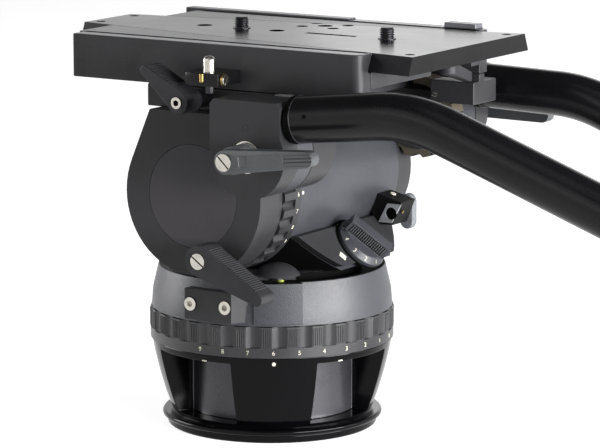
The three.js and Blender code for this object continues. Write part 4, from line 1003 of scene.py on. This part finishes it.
def bar_section(bar, part, piece, start, forward, finish):
    """Sets a turned piece on the tube, at a start and looking forward along it."""
    piece.matrix_world = swung(bar, facing(start, forward, UP))
    settle(piece, f"{bar}_{part}", bar, finish)


path, bend_end = bar_path()
forward = (math.cos(math.radians(BAR_RISE)), 0, math.sin(math.radians(BAR_RISE)))
downward = (math.cos(math.radians(BAR_FALL)), 0, -math.sin(math.radians(BAR_FALL)))
collar_profile = [(0, 0), (15.2, 0), (15.2, 3.4), (14.9, 3.6), (0, 3.6)]
edge_profile = [(0, 3.55), (15.2, 3.55), (15.3, 3.75), (15.1, 4.0), (0, 4.0)]
grip_profile = [(0, 0), (15.4, 0), (17.2, 0.4)]
for ridge in range(26):
    at = 0.9 + 4.0 * ridge
    grip_profile += [(17.2, at), (18, at + 0.5), (18, at + 2.5), (17.2, at + 3.0)]
grip_profile += [(17.2, 105.2), (18, 105.8), (18, 107.6), (16.6, 109.3), (13.0, 110), (0, 110)]

for side, name in SIDES:
    bar = f"{name}_bar"
    tube = rod([(x, side * BAR_Y, z) for x, z in path], TUBE_RADIUS, 48)
    tube.matrix_world = swung(bar, Matrix.Identity(4))
    settle(tube, f"{bar}_tube_finished", bar, tube_lacquer)
    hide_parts(f"{name}_bar_tube")
    tube_start = (BAR_START_X, side * BAR_Y, BAR_START_Z)
    # The collar is painted dark as the shade in the gap at the bracket, its edge light as a painted
    # highlight
    bar_section(bar, "collar", lathe(collar_profile, 48), tube_start, forward, deep_shade_black)
    bar_section(bar, "collar_edge_highlight", lathe(edge_profile, 48), tube_start, forward, painted_highlight_satin)
    # A dark disc on the bracket for a small hole: painted shade
    hole_face = facing((105.6, side * 128.5, 228.8), (-0.02, side * 0.978, 0.208), UP)
    add_part(f"{bar}_hole", bar, disc(1.35, 0.5, 20), swung(bar, hole_face), deep_shade_black, 0.15)
    grip = lathe(grip_profile, 36)
    grip_start = Vector((bend_end[0], side * BAR_Y, bend_end[1])) + Vector(downward) * GRIP_AT
    bar_section(bar, "grip_finished", grip, grip_start, downward, grip_rubber)
    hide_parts(f"{name}_bar_grip")


# Floor, light and camera

def backdrop_rays(tree):
    """1 on the rays that show the background: from the camera, in a mirror or through glass."""
    path = add_node(tree, "ShaderNodeLightPath")
    shown = path.outputs["Is Camera Ray"]
    for kind in ("Is Glossy Ray", "Is Transmission Ray"):
        shown = add_node(tree, "ShaderNodeMath", settings={"operation": "MAXIMUM"},
                         links={0: shown, 1: path.outputs[kind]}).outputs[0]
    return shown


# The floor lights the head as a mid grey and shows itself as a pale one
start_fresh()
bpy.ops.mesh.primitive_plane_add(size=16, location=(0, 0, 0))
floor = bpy.context.object
floor.name = "floor"
floor_finish, tree, shader, place = new_material("studio_floor")
seen = backdrop_rays(tree)
tree.links.new(ramp(tree, seen, linear("707070"), linear("d2d2d2")), shader.inputs["Base Color"])
shader.inputs["Roughness"].default_value = 0.9
lift = add_node(tree, "ShaderNodeMath", settings={"operation": "MULTIPLY"}, links={0: seen},
                i1=FLOOR_LIFT)
shader.inputs["Emission Color"].default_value = (1, 1, 1, 1)
tree.links.new(lift.outputs[0], shader.inputs["Emission Strength"])
floor.data.materials.append(floor_finish)

# The rays that show the background see white up to 20 degrees above the floor, dimming to a
# dark ceiling at 35. All the others see the ceiling's dark grey everywhere
world = bpy.data.worlds.new("studio")
bpy.context.scene.world = world
world.use_nodes = True
sky = world.node_tree
back = sky.nodes["Background"]
direction = add_node(sky, "ShaderNodeTexCoord").outputs["Generated"]
height = add_node(sky, "ShaderNodeSeparateXYZ", links={0: direction}).outputs["Z"]
backdrop = add_node(sky, "ShaderNodeMapRange", links={"Value": height}, From_Min=0.34,
                    From_Max=0.57, To_Min=1.0, To_Max=CEILING_GREY).outputs["Result"]
shown = add_node(sky, "ShaderNodeMath", settings={"operation": "MULTIPLY"},
                 links={0: backdrop, 1: backdrop_rays(sky)}).outputs[0]
strength = add_node(sky, "ShaderNodeMath", settings={"operation": "MAXIMUM"}, links={0: shown},
                    i1=CEILING_GREY)
back.inputs["Color"].default_value = (1, 1, 1, 1)
sky.links.new(strength.outputs[0], back.inputs["Strength"])


def softbox(name, azimuth, rise, distance, size, power):
    """An oblong area lamp that looks at the middle of the head, with its distance in metres."""
    flat = math.cos(math.radians(rise))
    out = Vector((math.cos(math.radians(azimuth)) * flat, math.sin(math.radians(azimuth)) * flat,
                  math.sin(math.radians(rise))))
    lamp = bpy.data.lights.new(name, "AREA")
    lamp.shape = "RECTANGLE"
    lamp.size, lamp.size_y = size
    lamp.energy = power
    item = bpy.data.objects.new(name, lamp)
    item.location = Vector(HEAD_MIDDLE) + out * distance
    item.rotation_euler = out.to_track_quat("Z", "Y").to_euler()
    bpy.context.scene.collection.objects.link(item)


softbox("right_softbox", -6, 5, 2.3, (2.4, 0.66), 145)
softbox("rear_right_softbox", 28, 8, 2.4, (1.0, 0.7), 10)
softbox("front_softbox", -105, 32, 2.6, (1.6, 1.2), 6)
softbox("left_softbox", -165, 10, 2.2, (1.1, 1.0), 27)
softbox("rear_softbox", 108, 13, 2.7, (1.3, 0.9), 3)
softbox("top_softbox", -60, 70, 2.4, (1.6, 1.2), 3)

azimuth, rise = math.radians(VIEW_AZIMUTH), math.radians(VIEW_RISE)
backward = Vector((math.sin(azimuth) * math.cos(rise), -math.cos(azimuth) * math.cos(rise),
                   math.sin(rise)))
sideways = Vector((math.cos(azimuth), math.sin(azimuth), 0))
upward = backward.cross(sideways)
eye = Vector((0, 0, VIEW_HEIGHT)) + backward * VIEW_DISTANCE
aim = (-backward + sideways * (PHOTO_SIZE[0] / 2 - PHOTO_MIDDLE[0]) / VIEW_FOCAL
       - upward * (PHOTO_SIZE[1] / 2 - PHOTO_MIDDLE[1]) / VIEW_FOCAL)
camera_data = bpy.data.cameras.new("camera")
camera_data.sensor_width = SENSOR_WIDTH
camera_data.lens = VIEW_FOCAL / PHOTO_SIZE[0] * SENSOR_WIDTH
camera_data.clip_end = 50
camera = bpy.data.objects.new("camera", camera_data)
camera.location = eye
camera.rotation_euler = (-aim).to_track_quat("Z", "Y").to_euler()
bpy.context.scene.collection.objects.link(camera)
bpy.context.scene.camera = camera
bpy.context.scene.view_settings.view_transform = "Standard"
